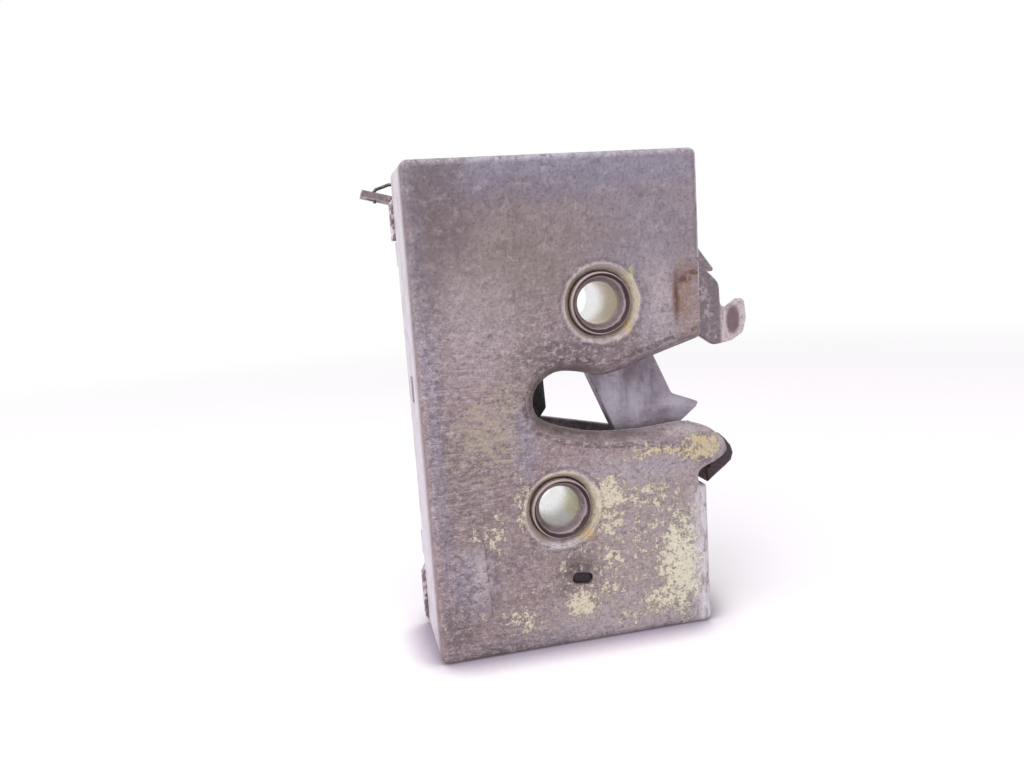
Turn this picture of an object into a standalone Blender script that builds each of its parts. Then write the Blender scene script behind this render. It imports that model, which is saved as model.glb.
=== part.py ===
"""Car door latch: a pressed housing with a striker slot, a fork claw held by a pawl,
two release levers, a lock lever with its slide, and their bushes, rivets and springs.

Frame: X across the face with the slot's mouth towards +X, Y from the front face to the rear,
Z up. The origin is the middle of the bottom wall, on the surface that the latch stands on.
Outlines are drawn in face coordinates: across from the left wall, up from the bottom wall,
and depth behind the front face.
"""

import math

import bmesh
import bpy
from mathutils import Matrix, Vector

MM = 0.001

# Housing sheet
FACE_WIDTH = 59.2 * MM
FACE_HEIGHT = 100.0 * MM
SHEET = 1.2 * MM
FOLD_RADIUS = 1.3 * MM
CORNER_RADIUS = 1.5 * MM
GAP = 0.3 * MM

# Striker slot, pressed inwards all round
SLOT_END = 0.3902 * FACE_WIDTH
SLOT_LEVEL = 51.5 * MM
SLOT_RUN_DRAWN = 36.1 * MM
SLOT_BAND_DEPTH = 3.6 * MM
SLOT_BAND_TURN = math.radians(78)
LIP_CURL = 1.2 * MM
NOTCH_DEPTH = 2.2 * MM

# Right wall, open between these heights above and below the slot's level
WALL_BELOW_SLOT = 21.3 * MM
WALL_ABOVE_SLOT = 26.7 * MM

# Threaded bushes
CLAW_PIVOT = Vector((0.6368 * FACE_WIDTH, SLOT_LEVEL + 19.0 * MM))
PAWL_PIVOT = Vector((0.4578 * FACE_WIDTH, SLOT_LEVEL - 22.2 * MM))
BORE_RADIUS = 4.6 * MM
SPIGOT_RADIUS = 6.0 * MM
SHOULDER_RADIUS = 7.6 * MM
JOURNAL_RADIUS = 6.4 * MM
REAR_SPIGOT_RADIUS = 5.7 * MM
BUSH_HEAD_RADIUS = 6.8 * MM
BUSH_HEAD = 1.2 * MM
BUSH_RECESS = 0.9 * MM
DISH_RADIUS = 7.8 * MM
DISH_DEPTH = 1.5 * MM

# Planes behind the front face
SHOULDER_LENGTH = 3.3 * MM
CLAW_THICKNESS = 3.5 * MM
SPRING_ROOM = 5.0 * MM
LEVER_THICKNESS = 2.0 * MM
WASHER_THICKNESS = 2.3 * MM
PLATE_THICKNESS = 2.0 * MM
REAR_LEVER_THICKNESS = 1.8 * MM
SLIDE_THICKNESS = 1.5 * MM

# Claw, along its locking arm and to the side of it
CLAW_ARM_ANGLE = math.radians(-67.4)
CLAW_HALF_WIDTH = 7.2 * MM
CLAW_REACH = 33.0 * MM
CLAW_HUB = 11.0 * MM
BARB_SIDE = 12.2 * MM
THROAT_HALF_WIDTH = 5.4 * MM
THROAT_START = 8.0 * MM
KICK_ARM_REACH = 24.0 * MM

# Pawl and its pin
PAWL_HUB = 10.0 * MM
PIN_RADIUS = 2.2 * MM
PIN_HEAD_RADIUS = 3.2 * MM
PIN_PLACE = Vector((-13.6, 15.2)) * MM
PAWL_SWING = math.radians(24)

# Release and lock levers
PUSH_EDGE = PAWL_PIVOT.x + PIN_PLACE.x + PIN_RADIUS + GAP
PUSH_ARM = 3.8 * MM
INSIDE_PIVOT = Vector((PUSH_EDGE - 3.0 * MM, 16.0 * MM))
ROD_PLACE = INSIDE_PIVOT + Vector((28.0, -8.6)) * MM
LOCK_PIVOT = Vector((8.0 * MM, FACE_HEIGHT - 16.0 * MM))
LOCK_STUD = LOCK_PIVOT + Vector((12.0, 0.0)) * MM
GUIDE_PLACE = Vector((15.5 * MM, SLOT_LEVEL + 0.33 * (LOCK_PIVOT.y - SLOT_LEVEL)))
GUIDE_SHANK = 2.0 * MM
PIVOT_SHANK = 3.0 * MM
PIVOT_HEAD = 5.2 * MM
PIVOT_HEAD_THICKNESS = 1.0 * MM
ROD_HOLE = 3.0 * MM
TAB_BEND = math.radians(22)
ROD_TAB_THICKNESS = 1.3 * MM
ROD_TAB_LENGTH = 10.6 * MM
ROD_TAB_REACH = 6.0 * MM
ROD_TAB_TILT = math.radians(15)
ROD_TAB_HOLE = 1.7 * MM
SLIDE_STUD = 1.8 * MM
SLIDE_TRAVEL = 4.1 * MM

# Springs
COIL_GAP = 0.1 * MM
SPRING_WIRE = 1.2 * MM
SMALL_SPRING_WIRE = 1.0 * MM
LOCK_SPRING_WIRE = 0.7 * MM
COIL_STEPS = 18

# Back plate
PLATE_EDGE = 0.4 * MM
PLATE_BULGE = 0.8 * MM
PLATE_SLOT_END = SLOT_END + 3.4 * MM
LUG_WIDTH = 5.0 * MM
LUG_THICKNESS = 1.1 * MM
LUG_PROUD = 1.0 * MM
NOSE_FRONT = 5.5 * MM
NOSE_SHEET = 1.0 * MM
NOSE_FOLD = 0.8 * MM

# Crimped lugs as (side, height), the stop post and the slot's buffer
LUGS = (("left", 19.0 * MM), ("left", FACE_HEIGHT - 17.0 * MM), ("right", 13.0 * MM),
        ("right", FACE_HEIGHT - 0.345 * (FACE_HEIGHT - SLOT_LEVEL - WALL_ABOVE_SLOT)))
POST_PLACE = PAWL_PIVOT + Vector((3.4, -15.2)) * MM
POST_TILT = math.radians(-10)
POST_SHANK = 1.8 * MM
BUFFER_STEM_PLACE = Vector((SLOT_END - 0.1 * MM, SLOT_LEVEL + 0.5 * MM))
BUFFER_STEM = 1.6 * MM

# Slot in the left wall, from its lower front corner to its upper rear one
WALL_SLOT = ((52.4 * MM, 10.4 * MM), (58.0 * MM, 14.6 * MM))

ARC_STEP = math.radians(15)
ROUND_SIDES = 36
EDGE_BREAK = 0.2 * MM

# Depths worked out from the stack, which also gives the walls their depth
CLAW_FRONT = SHEET + DISH_DEPTH + GAP + SHOULDER_LENGTH
CLAW_BACK = CLAW_FRONT + CLAW_THICKNESS
SPACER_FRONT = CLAW_BACK + GAP
LEVER_FRONT = SPACER_FRONT + SPRING_ROOM + GAP
LEVER_BACK = LEVER_FRONT + LEVER_THICKNESS
HOUSING_DEPTH = LEVER_BACK + GAP + WASHER_THICKNESS
PLATE_FRONT = HOUSING_DEPTH + GAP
PLATE_BACK = PLATE_FRONT + PLATE_THICKNESS
REAR_FRONT = PLATE_BACK + GAP
REAR_BACK = REAR_FRONT + REAR_LEVER_THICKNESS
SLIDE_FRONT = REAR_BACK + GAP
SLIDE_BACK = SLIDE_FRONT + SLIDE_THICKNESS

# Sizes worked out from others
JOURNAL_HOLE = JOURNAL_RADIUS + GAP
COIL_RADIUS = JOURNAL_HOLE + 1.2 * MM + GAP + SPRING_WIRE / 2
COIL_TURNS = math.floor(4 * (SPRING_ROOM - SPRING_WIRE) / (SPRING_WIRE + COIL_GAP)) / 4
SMALL_COIL_RADIUS = PIVOT_SHANK + GAP + SMALL_SPRING_WIRE / 2
SMALL_COIL_ROOM = 3.4 * MM


def collection(name):
    found = bpy.data.collections.new(name)
    bpy.context.scene.collection.children.link(found)
    return found


def finish(name, colour, metallic, roughness):
    """Principled material in a plain colour, given as sRGB parts."""
    made = bpy.data.materials.new(name)
    made.use_nodes = True
    shader = made.node_tree.nodes["Principled BSDF"]
    linear = [part ** 2.2 for part in colour]
    shader.inputs["Base Color"].default_value = (*linear, 1)
    shader.inputs["Metallic"].default_value = metallic
    shader.inputs["Roughness"].default_value = roughness
    return made


def place(across, up, depth):
    """World point of a place on the face."""
    return Vector((across - FACE_WIDTH / 2, depth - HOUSING_DEPTH / 2, up))


def rounded(corners, closed=True):
    """Outline through corners given as (across, up, radius), with an arc at each corner."""
    points = []
    last = len(corners) - 1
    for index, (across, up, radius) in enumerate(corners):
        corner = Vector((across, up))
        if radius <= 0 or (not closed and index in (0, last)):
            points.append(corner)
            continue
        back = (Vector(corners[index - 1][:2]) - corner).normalized()
        ahead = (Vector(corners[(index + 1) % len(corners)][:2]) - corner).normalized()
        half = back.angle(ahead) / 2
        centre = corner + (back + ahead).normalized() * radius / math.sin(half)
        start = corner + back * radius / math.tan(half) - centre
        turn = math.pi - 2 * half
        if back.x * ahead.y - back.y * ahead.x > 0:
            turn = -turn
        steps = max(2, math.ceil(abs(turn) / ARC_STEP))
        for step in range(steps + 1):
            points.append(centre + turned_by(start, turn * step / steps))
    return points


def turned_by(vector, angle):
    """A flat vector turned anticlockwise."""
    cosine = math.cos(angle)
    sine = math.sin(angle)
    return Vector((vector.x * cosine - vector.y * sine, vector.x * sine + vector.y * cosine))


def arc(centre, radius, start, end):
    """Points on an arc, its angles measured anticlockwise as seen from the front."""
    steps = max(2, math.ceil(abs(end - start) / ARC_STEP))
    angles = [start + (end - start) * step / steps for step in range(steps + 1)]
    return [centre + radius * Vector((math.cos(a), math.sin(a))) for a in angles]


def circle(centre, radius, sides=ROUND_SIDES):
    angles = [2 * math.pi * step / sides for step in range(sides)]
    return [centre + radius * Vector((math.cos(a), math.sin(a))) for a in angles]


def smooth(points, steps):
    """A smooth line through points, with a few steps between each pair."""
    line = []
    ends = [2 * points[0] - points[1], *points, 2 * points[-1] - points[-2]]
    for before, start, end, after in zip(ends, ends[1:], ends[2:], ends[3:]):
        for step in range(steps):
            t = step / steps
            line.append(0.5 * (2 * start + (end - before) * t
                               + (2 * before - 5 * start + 4 * end - after) * t ** 2
                               + (3 * start - before - 3 * end + after) * t ** 3))
    line.append(points[-1])
    return line


def link(name, data, material, home=None):
    made = bpy.data.objects.new(name, data)
    (home or PARTS).objects.link(made)
    if material:
        data.materials.append(material)
    return made


def shade(mesh):
    mesh.shade_smooth()
    mesh.set_sharp_from_angle(angle=math.radians(35))


def solid_from(obj):
    """The evaluated object as a welded mesh under the same name."""
    bpy.context.view_layer.update()
    seen = obj.evaluated_get(bpy.context.evaluated_depsgraph_get())
    mesh = bpy.data.meshes.new_from_object(seen)
    work = bmesh.new()
    work.from_mesh(mesh)
    bmesh.ops.remove_doubles(work, verts=work.verts, dist=0.00001)
    bmesh.ops.recalc_face_normals(work, faces=work.faces)
    work.to_mesh(mesh)
    work.free()
    name = obj.name
    home = obj.users_collection[0]
    matrix = obj.matrix_world.copy()
    bpy.data.objects.remove(obj)
    made = bpy.data.objects.new(name, mesh)
    home.objects.link(made)
    made.matrix_world = matrix
    return made


def flat_piece(name, outlines, front, thickness, material, edge=EDGE_BREAK, home=None):
    """Plate cut to its outlines, the first its edge and the others holes."""
    curve = bpy.data.curves.new(name, "CURVE")
    curve.dimensions = "2D"
    curve.fill_mode = "BOTH"
    curve.extrude = thickness / 2 - edge
    curve.bevel_depth = edge
    curve.bevel_resolution = 0
    curve.offset = -edge
    for outline in outlines:
        spline = curve.splines.new("POLY")
        spline.points.add(len(outline) - 1)
        spline.use_cyclic_u = True
        for point, (across, up) in zip(spline.points, outline):
            point.co = (across - FACE_WIDTH / 2, up, 0, 1)
    made = link(name, curve, material, home)
    made.rotation_euler = (math.radians(90), 0, 0)
    made.location = (0, front + thickness / 2 - HOUSING_DEPTH / 2, 0)
    return solid_from(made)


def turned(name, profile, centre, material, sides=ROUND_SIDES, home=None):
    """Profile of (radius, depth) points, open where it starts and ends on the axis, spun round it."""
    mesh = bpy.data.meshes.new(name)
    points = [(radius, 0, depth) for radius, depth in profile]
    edges = [(index, index + 1) for index in range(len(points) - 1)]
    if profile[0][0] > 0:
        edges.append((len(points) - 1, 0))
    mesh.from_pydata(points, edges, [])
    made = link(name, mesh, material, home)
    spin = made.modifiers.new("spin", "SCREW")
    spin.steps = sides
    spin.render_steps = sides
    spin.use_merge_vertices = True
    spin.merge_threshold = 0.00001
    made.rotation_euler = (math.radians(-90), 0, 0)
    made.location = place(centre.x, centre.y, 0)
    made = solid_from(made)
    shade(made.data)
    return made


def ring_profile(inner, outer, front, back, edge=EDGE_BREAK):
    """Section of a plain sleeve or washer with broken edges."""
    return [(outer, back - edge), (outer, front + edge), (outer - edge, front), (inner + edge, front),
            (inner, front + edge), (inner, back - edge), (inner + edge, back), (outer - edge, back)]


def rivet_profile(shank, head, front_head, back_head, head_thickness):
    """Section of a rivet whose heads start at two depths, its axis closed."""
    front = front_head - head_thickness
    back = back_head + head_thickness
    round_off = head_thickness * 0.4
    return [(0, back), (head - round_off, back), (head, back - round_off), (head, back_head),
            (shank, back_head), (shank, front_head), (head, front_head), (head, front + round_off),
            (head - round_off, front), (0, front)]


def combine(body, tool, operation):
    """Boolean of two solids, applied; the tool stays as a hidden guide when it cuts."""
    change = body.modifiers.new(operation.lower(), "BOOLEAN")
    change.operation = operation
    change.solver = "EXACT"
    change.object = tool
    bpy.context.view_layer.update()
    result = solid_from(body)
    if operation == "DIFFERENCE":
        tool.hide_render = True
        tool.display_type = "WIRE"
    else:
        bpy.data.objects.remove(tool)
    return result


def box_tool(name, low, high, home):
    """Box between two corners given as (across, up, depth)."""
    lower = place(*low)
    upper = place(*high)
    bpy.ops.mesh.primitive_cube_add(size=1, location=(lower + upper) / 2)
    made = bpy.context.object
    made.name = name
    for owner in list(made.users_collection):
        owner.objects.unlink(made)
    home.objects.link(made)
    size = upper - lower
    made.data.transform(Matrix.Diagonal((abs(size.x), abs(size.y), abs(size.z), 1)))
    return made


def slot_lines():
    """The pressed band's crease on the face and its inner edge, from the mouth's top to the lip."""
    stretch = (FACE_WIDTH - SLOT_END) / SLOT_RUN_DRAWN

    def from_end(across, up):
        return Vector((SLOT_END, SLOT_LEVEL)) + Vector((across * stretch, up)) * MM

    def from_mouth(across, up):
        return Vector((FACE_WIDTH, SLOT_LEVEL)) + Vector((across * min(stretch, 1), up)) * MM

    edge = [from_mouth(0.0, 9.9), from_mouth(-9.5, 7.2), from_mouth(-16.7, 4.9),
            from_mouth(-21.7, 4.1), from_end(9.4, 5.4), from_end(4.9, 5.6), from_end(1.2, 3.2),
            from_end(0.0, 0.0), from_end(0.9, -3.2), from_end(5.2, -5.5), from_end(12.9, -7.4),
            from_mouth(-13.6, -7.9), from_mouth(-4.6, -7.4), from_mouth(0.6, -8.7),
            from_mouth(3.6, -10.5), from_mouth(5.9, -12.6), from_mouth(6.9, -14.6)]
    crease = [from_mouth(-0.8, 13.1), from_mouth(-10.4, 10.4), from_mouth(-17.5, 8.1),
              from_mouth(-21.7, 7.5), from_end(10.1, 8.5), from_end(4.1, 8.8), from_end(-1.1, 5.7),
              from_end(-3.2, 0.2), from_end(-1.7, -5.0), from_end(3.9, -8.4), from_end(12.3, -10.5),
              from_mouth(-14.6, -11.3), from_mouth(-8.2, -13.1), from_mouth(-5.0, -14.7),
              from_mouth(-3.3, -15.6), from_mouth(-2.0, -16.4), from_mouth(-1.0, -17.1)]
    return smooth(crease, 3), smooth(edge, 3)


def wall_line(inset):
    """The walls' run round the housing, from the wall under the lip to the wall above the window."""
    right = FACE_WIDTH - inset
    top = FACE_HEIGHT - inset
    radius = CORNER_RADIUS - inset
    return rounded([(right, SLOT_LEVEL - WALL_BELOW_SLOT, 0), (right, inset, radius),
                    (inset, inset, radius), (inset, top, radius), (right, top, radius),
                    (right, SLOT_LEVEL + WALL_ABOVE_SLOT, 0)], closed=False)


def add_ring(work, points, depths):
    return [work.verts.new(place(point.x, point.y, depth)) for point, depth in zip(points, depths)]


def bridge(work, first, second):
    for index in range(len(first) - 1):
        work.faces.new((first[index], first[index + 1], second[index + 1], second[index]))


def turn_forwards(work):
    """Make an open sheet's faces agree, with its first face looking to the front."""
    bmesh.ops.recalc_face_normals(work, faces=work.faces)
    work.faces.ensure_lookup_table()
    if work.faces[0].normal.y > 0:
        bmesh.ops.reverse_faces(work, faces=work.faces)


def make_housing():
    """One pressed sheet: face, rolled folds, walls and the band turned in round the slot."""
    crease, edge = slot_lines()
    work = bmesh.new()
    crease_ring = add_ring(work, crease, [0] * len(crease))
    rim = wall_line(FOLD_RADIUS)
    rim_ring = add_ring(work, rim, [0] * len(rim))
    low = rim[0]
    notch_edge = FACE_WIDTH - NOTCH_DEPTH
    notch = [crease[-1] + Vector((-0.9, -0.7)) * MM, Vector((notch_edge, (2 * crease[-1].y + low.y) / 3)),
             Vector((notch_edge, (crease[-1].y + 2 * low.y) / 3)), low + Vector((-0.5, 0.4)) * MM]
    notch_ring = add_ring(work, notch, [0] * len(notch))
    bare = [rim[-1] + Vector((0.9 * MM, -1.0 * MM)), crease[0] + Vector((0.1 * MM, 1.0 * MM))]
    bare_ring = add_ring(work, bare, [0] * len(bare))
    work.faces.new(crease_ring + notch_ring + rim_ring + bare_ring)

    previous = crease_ring
    band_steps = 4
    last = len(crease) - 1
    for step in range(1, band_steps + 1):
        angle = SLOT_BAND_TURN * step / band_steps
        across = math.sin(angle) / math.sin(SLOT_BAND_TURN)
        sunk = (1 - math.cos(angle)) / (1 - math.cos(SLOT_BAND_TURN))
        line = [start.lerp(end, across) for start, end in zip(crease, edge)]
        curl = [max(0, index / last - 0.8) / 0.2 for index in range(last + 1)]
        ring = add_ring(work, line, [(SLOT_BAND_DEPTH + LIP_CURL * c) * sunk for c in curl])
        bridge(work, previous, ring)
        previous = ring

    previous = rim_ring
    fold_steps = 3
    for step in range(1, fold_steps + 1):
        angle = math.pi / 2 * step / fold_steps
        line = wall_line(FOLD_RADIUS * (1 - math.sin(angle)))
        ring = add_ring(work, line, [FOLD_RADIUS * (1 - math.cos(angle))] * len(line))
        bridge(work, previous, ring)
        previous = ring
    line = wall_line(0)
    ring = add_ring(work, line, [HOUSING_DEPTH] * len(line))
    bridge(work, previous, ring)

    turn_forwards(work)
    mesh = bpy.data.meshes.new("housing")
    work.to_mesh(mesh)
    work.free()
    housing = link("housing", mesh, ZINC)
    wall = housing.modifiers.new("sheet", "SOLIDIFY")
    wall.thickness = SHEET
    wall.offset = -1
    wall.use_even_offset = True
    housing = solid_from(housing)

    for name, pivot in (("claw_dish", CLAW_PIVOT), ("pawl_dish", PAWL_PIVOT)):
        hole = turned(name + "_cut", [(0, SHEET + 2 * MM), (DISH_RADIUS, SHEET + 2 * MM),
                                      (DISH_RADIUS, -2 * MM), (0, -2 * MM)], pivot, None, home=CUTTERS)
        housing = combine(housing, hole, "DIFFERENCE")
        inner = SPIGOT_RADIUS + GAP
        outer = DISH_RADIUS + 0.5 * MM
        dish = turned(name, [(outer, 0.8 * SHEET), (outer, 0.25 * SHEET),
                             (DISH_RADIUS - 0.2 * MM, 0.2 * SHEET),
                             (inner + 0.5 * MM, DISH_DEPTH), (inner, DISH_DEPTH + 0.5 * MM),
                             (inner, DISH_DEPTH + SHEET), (inner + 0.6 * MM, DISH_DEPTH + SHEET),
                             (DISH_RADIUS, SHEET + 0.6 * MM)],
                      pivot, ZINC)
        housing = combine(housing, dish, "UNION")

    for side, up in LUGS:
        margin = (SHEET - LUG_THICKNESS) / 2
        if side == "left":
            low_across = margin
        else:
            low_across = FACE_WIDTH - margin - LUG_THICKNESS
        lug = box_tool("lug", (low_across, up - LUG_WIDTH / 2, HOUSING_DEPTH - 2 * MM),
                       (low_across + LUG_THICKNESS, up + LUG_WIDTH / 2, PLATE_BACK + LUG_PROUD), PARTS)
        housing = combine(housing, lug, "UNION")

    pad = flat_piece("pad", [rounded([(11.2 * MM, 8.0 * MM, 2.5 * MM), (2.6 * MM, 7.2 * MM, 2.0 * MM),
                                      (2.6 * MM, 27.5 * MM, 2.0 * MM), (10.4 * MM, 26.0 * MM, 2.5 * MM)])],
                     -0.35 * MM, SHEET, ZINC, edge=0.3 * MM)
    housing = combine(housing, pad, "UNION")

    post_hole = flat_piece("post_hole", [post_outline(GAP)], -MM, SHEET + 2 * MM, None, home=CUTTERS, edge=0)
    housing = combine(housing, post_hole, "DIFFERENCE")
    (low_up, low_depth), (high_up, high_depth) = WALL_SLOT
    wall_slot = box_tool("wall_slot", (-MM, low_up, low_depth), (SHEET + MM, high_up, high_depth), CUTTERS)
    housing = combine(housing, wall_slot, "DIFFERENCE")
    shade(housing.data)
    return housing


def post_outline(grow):
    """The stop post's flattened front end, tilted a little."""
    long = 1.9 * MM + grow
    high = 0.95 * MM + grow
    corners = [(-long, -high), (long, -high), (long, high), (-long, high)]
    placed = [POST_PLACE + turned_by(Vector(corner), POST_TILT) for corner in corners]
    return rounded([(point.x, point.y, high * 0.9) for point in placed])


def nose_line():
    """The drawn nose's walls, from under the lip round its tip and back up to the notch."""
    tip = Vector((FACE_WIDTH, SLOT_LEVEL))
    shape = [(5.9, -11.8), (7.2, -13.0), (8.5, -14.7), (9.0, -16.4), (8.5, -18.0), (7.2, -19.1),
             (4.8, -20.8), (2.8, -22.3), (2.3, -19.2)]
    return [tip + Vector(point) * MM for point in shape]


def inset(points, distance):
    """An open line moved to its right by a distance, its corners kept."""
    moved = []
    for index, point in enumerate(points):
        before = (point - points[max(index - 1, 0)]).normalized()
        after = (points[min(index + 1, len(points) - 1)] - point).normalized()
        along = (before + after).normalized()
        square = Vector((along.y, -along.x))
        straight = after if index == 0 else before
        share = square.dot(Vector((straight.y, -straight.x)))
        moved.append(point + square * distance / share)
    return moved


def make_nose():
    """Cap drawn forwards from the plate, right behind the housing's lip."""
    line = nose_line()
    work = bmesh.new()
    front = inset(line, NOSE_FOLD)
    previous = add_ring(work, front, [NOSE_FRONT] * len(front))
    work.faces.new(previous)
    steps = 3
    for step in range(1, steps + 1):
        angle = math.pi / 2 * step / steps
        ring_line = inset(line, NOSE_FOLD * (1 - math.sin(angle)))
        ring = add_ring(work, ring_line, [NOSE_FRONT + NOSE_FOLD * (1 - math.cos(angle))] * len(line))
        bridge(work, previous, ring)
        previous = ring
    ring = add_ring(work, line, [PLATE_FRONT + PLATE_THICKNESS / 2] * len(line))
    bridge(work, previous, ring)
    mesh = bpy.data.meshes.new("plate_nose")
    turn_forwards(work)
    work.to_mesh(mesh)
    work.free()
    nose = link("plate_nose", mesh, PLATE_STEEL)
    wall = nose.modifiers.new("sheet", "SOLIDIFY")
    wall.thickness = NOSE_SHEET
    wall.offset = -1
    wall.use_even_offset = True
    return solid_from(nose)


def make_back_plate():
    """Flat plate behind the housing, with its slot, the stop ear and the curled lip."""
    right = FACE_WIDTH - PLATE_EDGE
    top = FACE_HEIGHT - PLATE_EDGE
    level = SLOT_LEVEL
    mouth = FACE_WIDTH
    lip = nose_line()
    ear = level + 22.7 * MM
    above_ear = FACE_HEIGHT - ear
    corners = [(-PLATE_BULGE, PLATE_EDGE, 2.5 * MM), (right, PLATE_EDGE, 2.5 * MM),
               (right, lip[-2].y - 2.2 * MM, 0.5 * MM), *((spot.x, spot.y, 0) for spot in lip[-2::-1]),
               (mouth - 11.5 * MM, level - 10.8 * MM, 4 * MM),
               (PLATE_SLOT_END, level - 6.0 * MM, 1.5 * MM), (PLATE_SLOT_END, level + 6.5 * MM, 3 * MM),
               (mouth - 16 * MM, level + 8.2 * MM, 6 * MM), (right, level + 12.3 * MM, 1 * MM),
               (right, ear, 0.8 * MM), (mouth + 13.2 * MM, ear + 0.2 * MM, 0.5 * MM),
               (mouth + 4.9 * MM, ear + 0.446 * above_ear, 1.2 * MM),
               (right, ear + 0.612 * above_ear, 1.0 * MM),
               (right, top, 2.5 * MM), (PLATE_EDGE, top, 2.5 * MM),
               (PLATE_EDGE, top - 4.6 * MM, 0.8 * MM), (-PLATE_BULGE, top - 6.2 * MM, 0.8 * MM),
               (-PLATE_BULGE, top - 17.0 * MM, 0.8 * MM), (PLATE_EDGE, top - 19.0 * MM, 0.8 * MM),
               (PLATE_EDGE, 14.5 * MM, 0.8 * MM), (-PLATE_BULGE, 12.5 * MM, 0.8 * MM)]
    window_start = math.atan2(PIN_PLACE.y, PIN_PLACE.x)
    reach = PIN_PLACE.length
    clear = PIN_RADIUS + 0.6 * MM
    margin = math.radians(1.5)
    window = (arc(PAWL_PIVOT, reach + clear, window_start - margin, window_start + PAWL_SWING + margin)
              + arc(PAWL_PIVOT + turned_by(PIN_PLACE, PAWL_SWING + margin), clear,
                    window_start + PAWL_SWING + margin, window_start + PAWL_SWING + margin + math.pi)[1:-1]
              + arc(PAWL_PIVOT, reach - clear, window_start + PAWL_SWING + margin, window_start - margin)
              + arc(PAWL_PIVOT + turned_by(PIN_PLACE, -margin), clear,
                    window_start - margin + math.pi, window_start - margin + 2 * math.pi)[1:-1])
    holes = [circle(CLAW_PIVOT, REAR_SPIGOT_RADIUS + GAP), circle(PAWL_PIVOT, REAR_SPIGOT_RADIUS + GAP),
             circle(INSIDE_PIVOT, PIVOT_SHANK + GAP, 24), circle(LOCK_PIVOT, PIVOT_SHANK + GAP, 24),
             circle(GUIDE_PLACE, GUIDE_SHANK + GAP, 20), circle(BUFFER_STEM_PLACE, BUFFER_STEM + GAP, 20),
             circle(POST_PLACE, POST_SHANK + GAP, 20),
             circle(Vector((CLAW_PIVOT.x - 14 * MM, FACE_HEIGHT - 10.5 * MM)), 2.0 * MM, 16),
             circle(Vector((right - 9 * MM, 12 * MM)), 2.5 * MM, 20)]
    plate = flat_piece("back_plate", [rounded(corners), window, *holes], PLATE_FRONT, PLATE_THICKNESS,
                       PLATE_STEEL)

    plate = combine(plate, make_nose(), "UNION")

    for index, (side, up) in enumerate(LUGS):
        width = SHEET + GAP
        if side == "left":
            low_across = -3 * MM
            high_across = width
        else:
            low_across = FACE_WIDTH - width
            high_across = FACE_WIDTH + 3 * MM
        notch = box_tool("lug_notch_%d" % index, (low_across, up - LUG_WIDTH / 2 - GAP, PLATE_FRONT - MM),
                         (high_across, up + LUG_WIDTH / 2 + GAP, PLATE_BACK + MM), CUTTERS)
        plate = combine(plate, notch, "DIFFERENCE")
    shade(plate.data)
    return plate


def bush(name, pivot):
    """Threaded bush: spigot in the dish, shoulder, journal and a head riveted behind the plate."""
    shoulder_front = SHEET + DISH_DEPTH + GAP
    journal_front = CLAW_FRONT - GAP
    journal_back = PLATE_FRONT - GAP
    head_front = PLATE_BACK + GAP
    head_back = head_front + BUSH_HEAD
    edge = 0.4 * MM
    thread_edge = 0.5 * MM
    profile = [(BUSH_HEAD_RADIUS - edge, head_back), (BUSH_HEAD_RADIUS, head_back - edge),
               (BUSH_HEAD_RADIUS, head_front), (REAR_SPIGOT_RADIUS, head_front),
               (REAR_SPIGOT_RADIUS, journal_back), (JOURNAL_RADIUS, journal_back),
               (JOURNAL_RADIUS, journal_front), (SHOULDER_RADIUS, journal_front),
               (SHOULDER_RADIUS, shoulder_front), (SPIGOT_RADIUS, shoulder_front),
               (SPIGOT_RADIUS, BUSH_RECESS + edge), (SPIGOT_RADIUS - edge, BUSH_RECESS),
               (BORE_RADIUS + thread_edge, BUSH_RECESS), (BORE_RADIUS, BUSH_RECESS + thread_edge),
               (BORE_RADIUS, head_back - thread_edge), (BORE_RADIUS + thread_edge, head_back)]
    return turned(name, profile, pivot, BRIGHT_ZINC)


def claw_point(along, side):
    """A place on the claw, measured along its locking arm and to the mouth's side of it."""
    return CLAW_PIVOT + turned_by(Vector((along, side)), CLAW_ARM_ANGLE)


def kick_flank():
    """Both ends of the slanted face under the kick arm, which the pawl's nose holds."""
    outer = CLAW_PIVOT + Vector((-21.3, -9.5)) * MM
    inner = claw_point(THROAT_START, -CLAW_HALF_WIDTH - 2 * THROAT_HALF_WIDTH)
    return outer, inner


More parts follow.
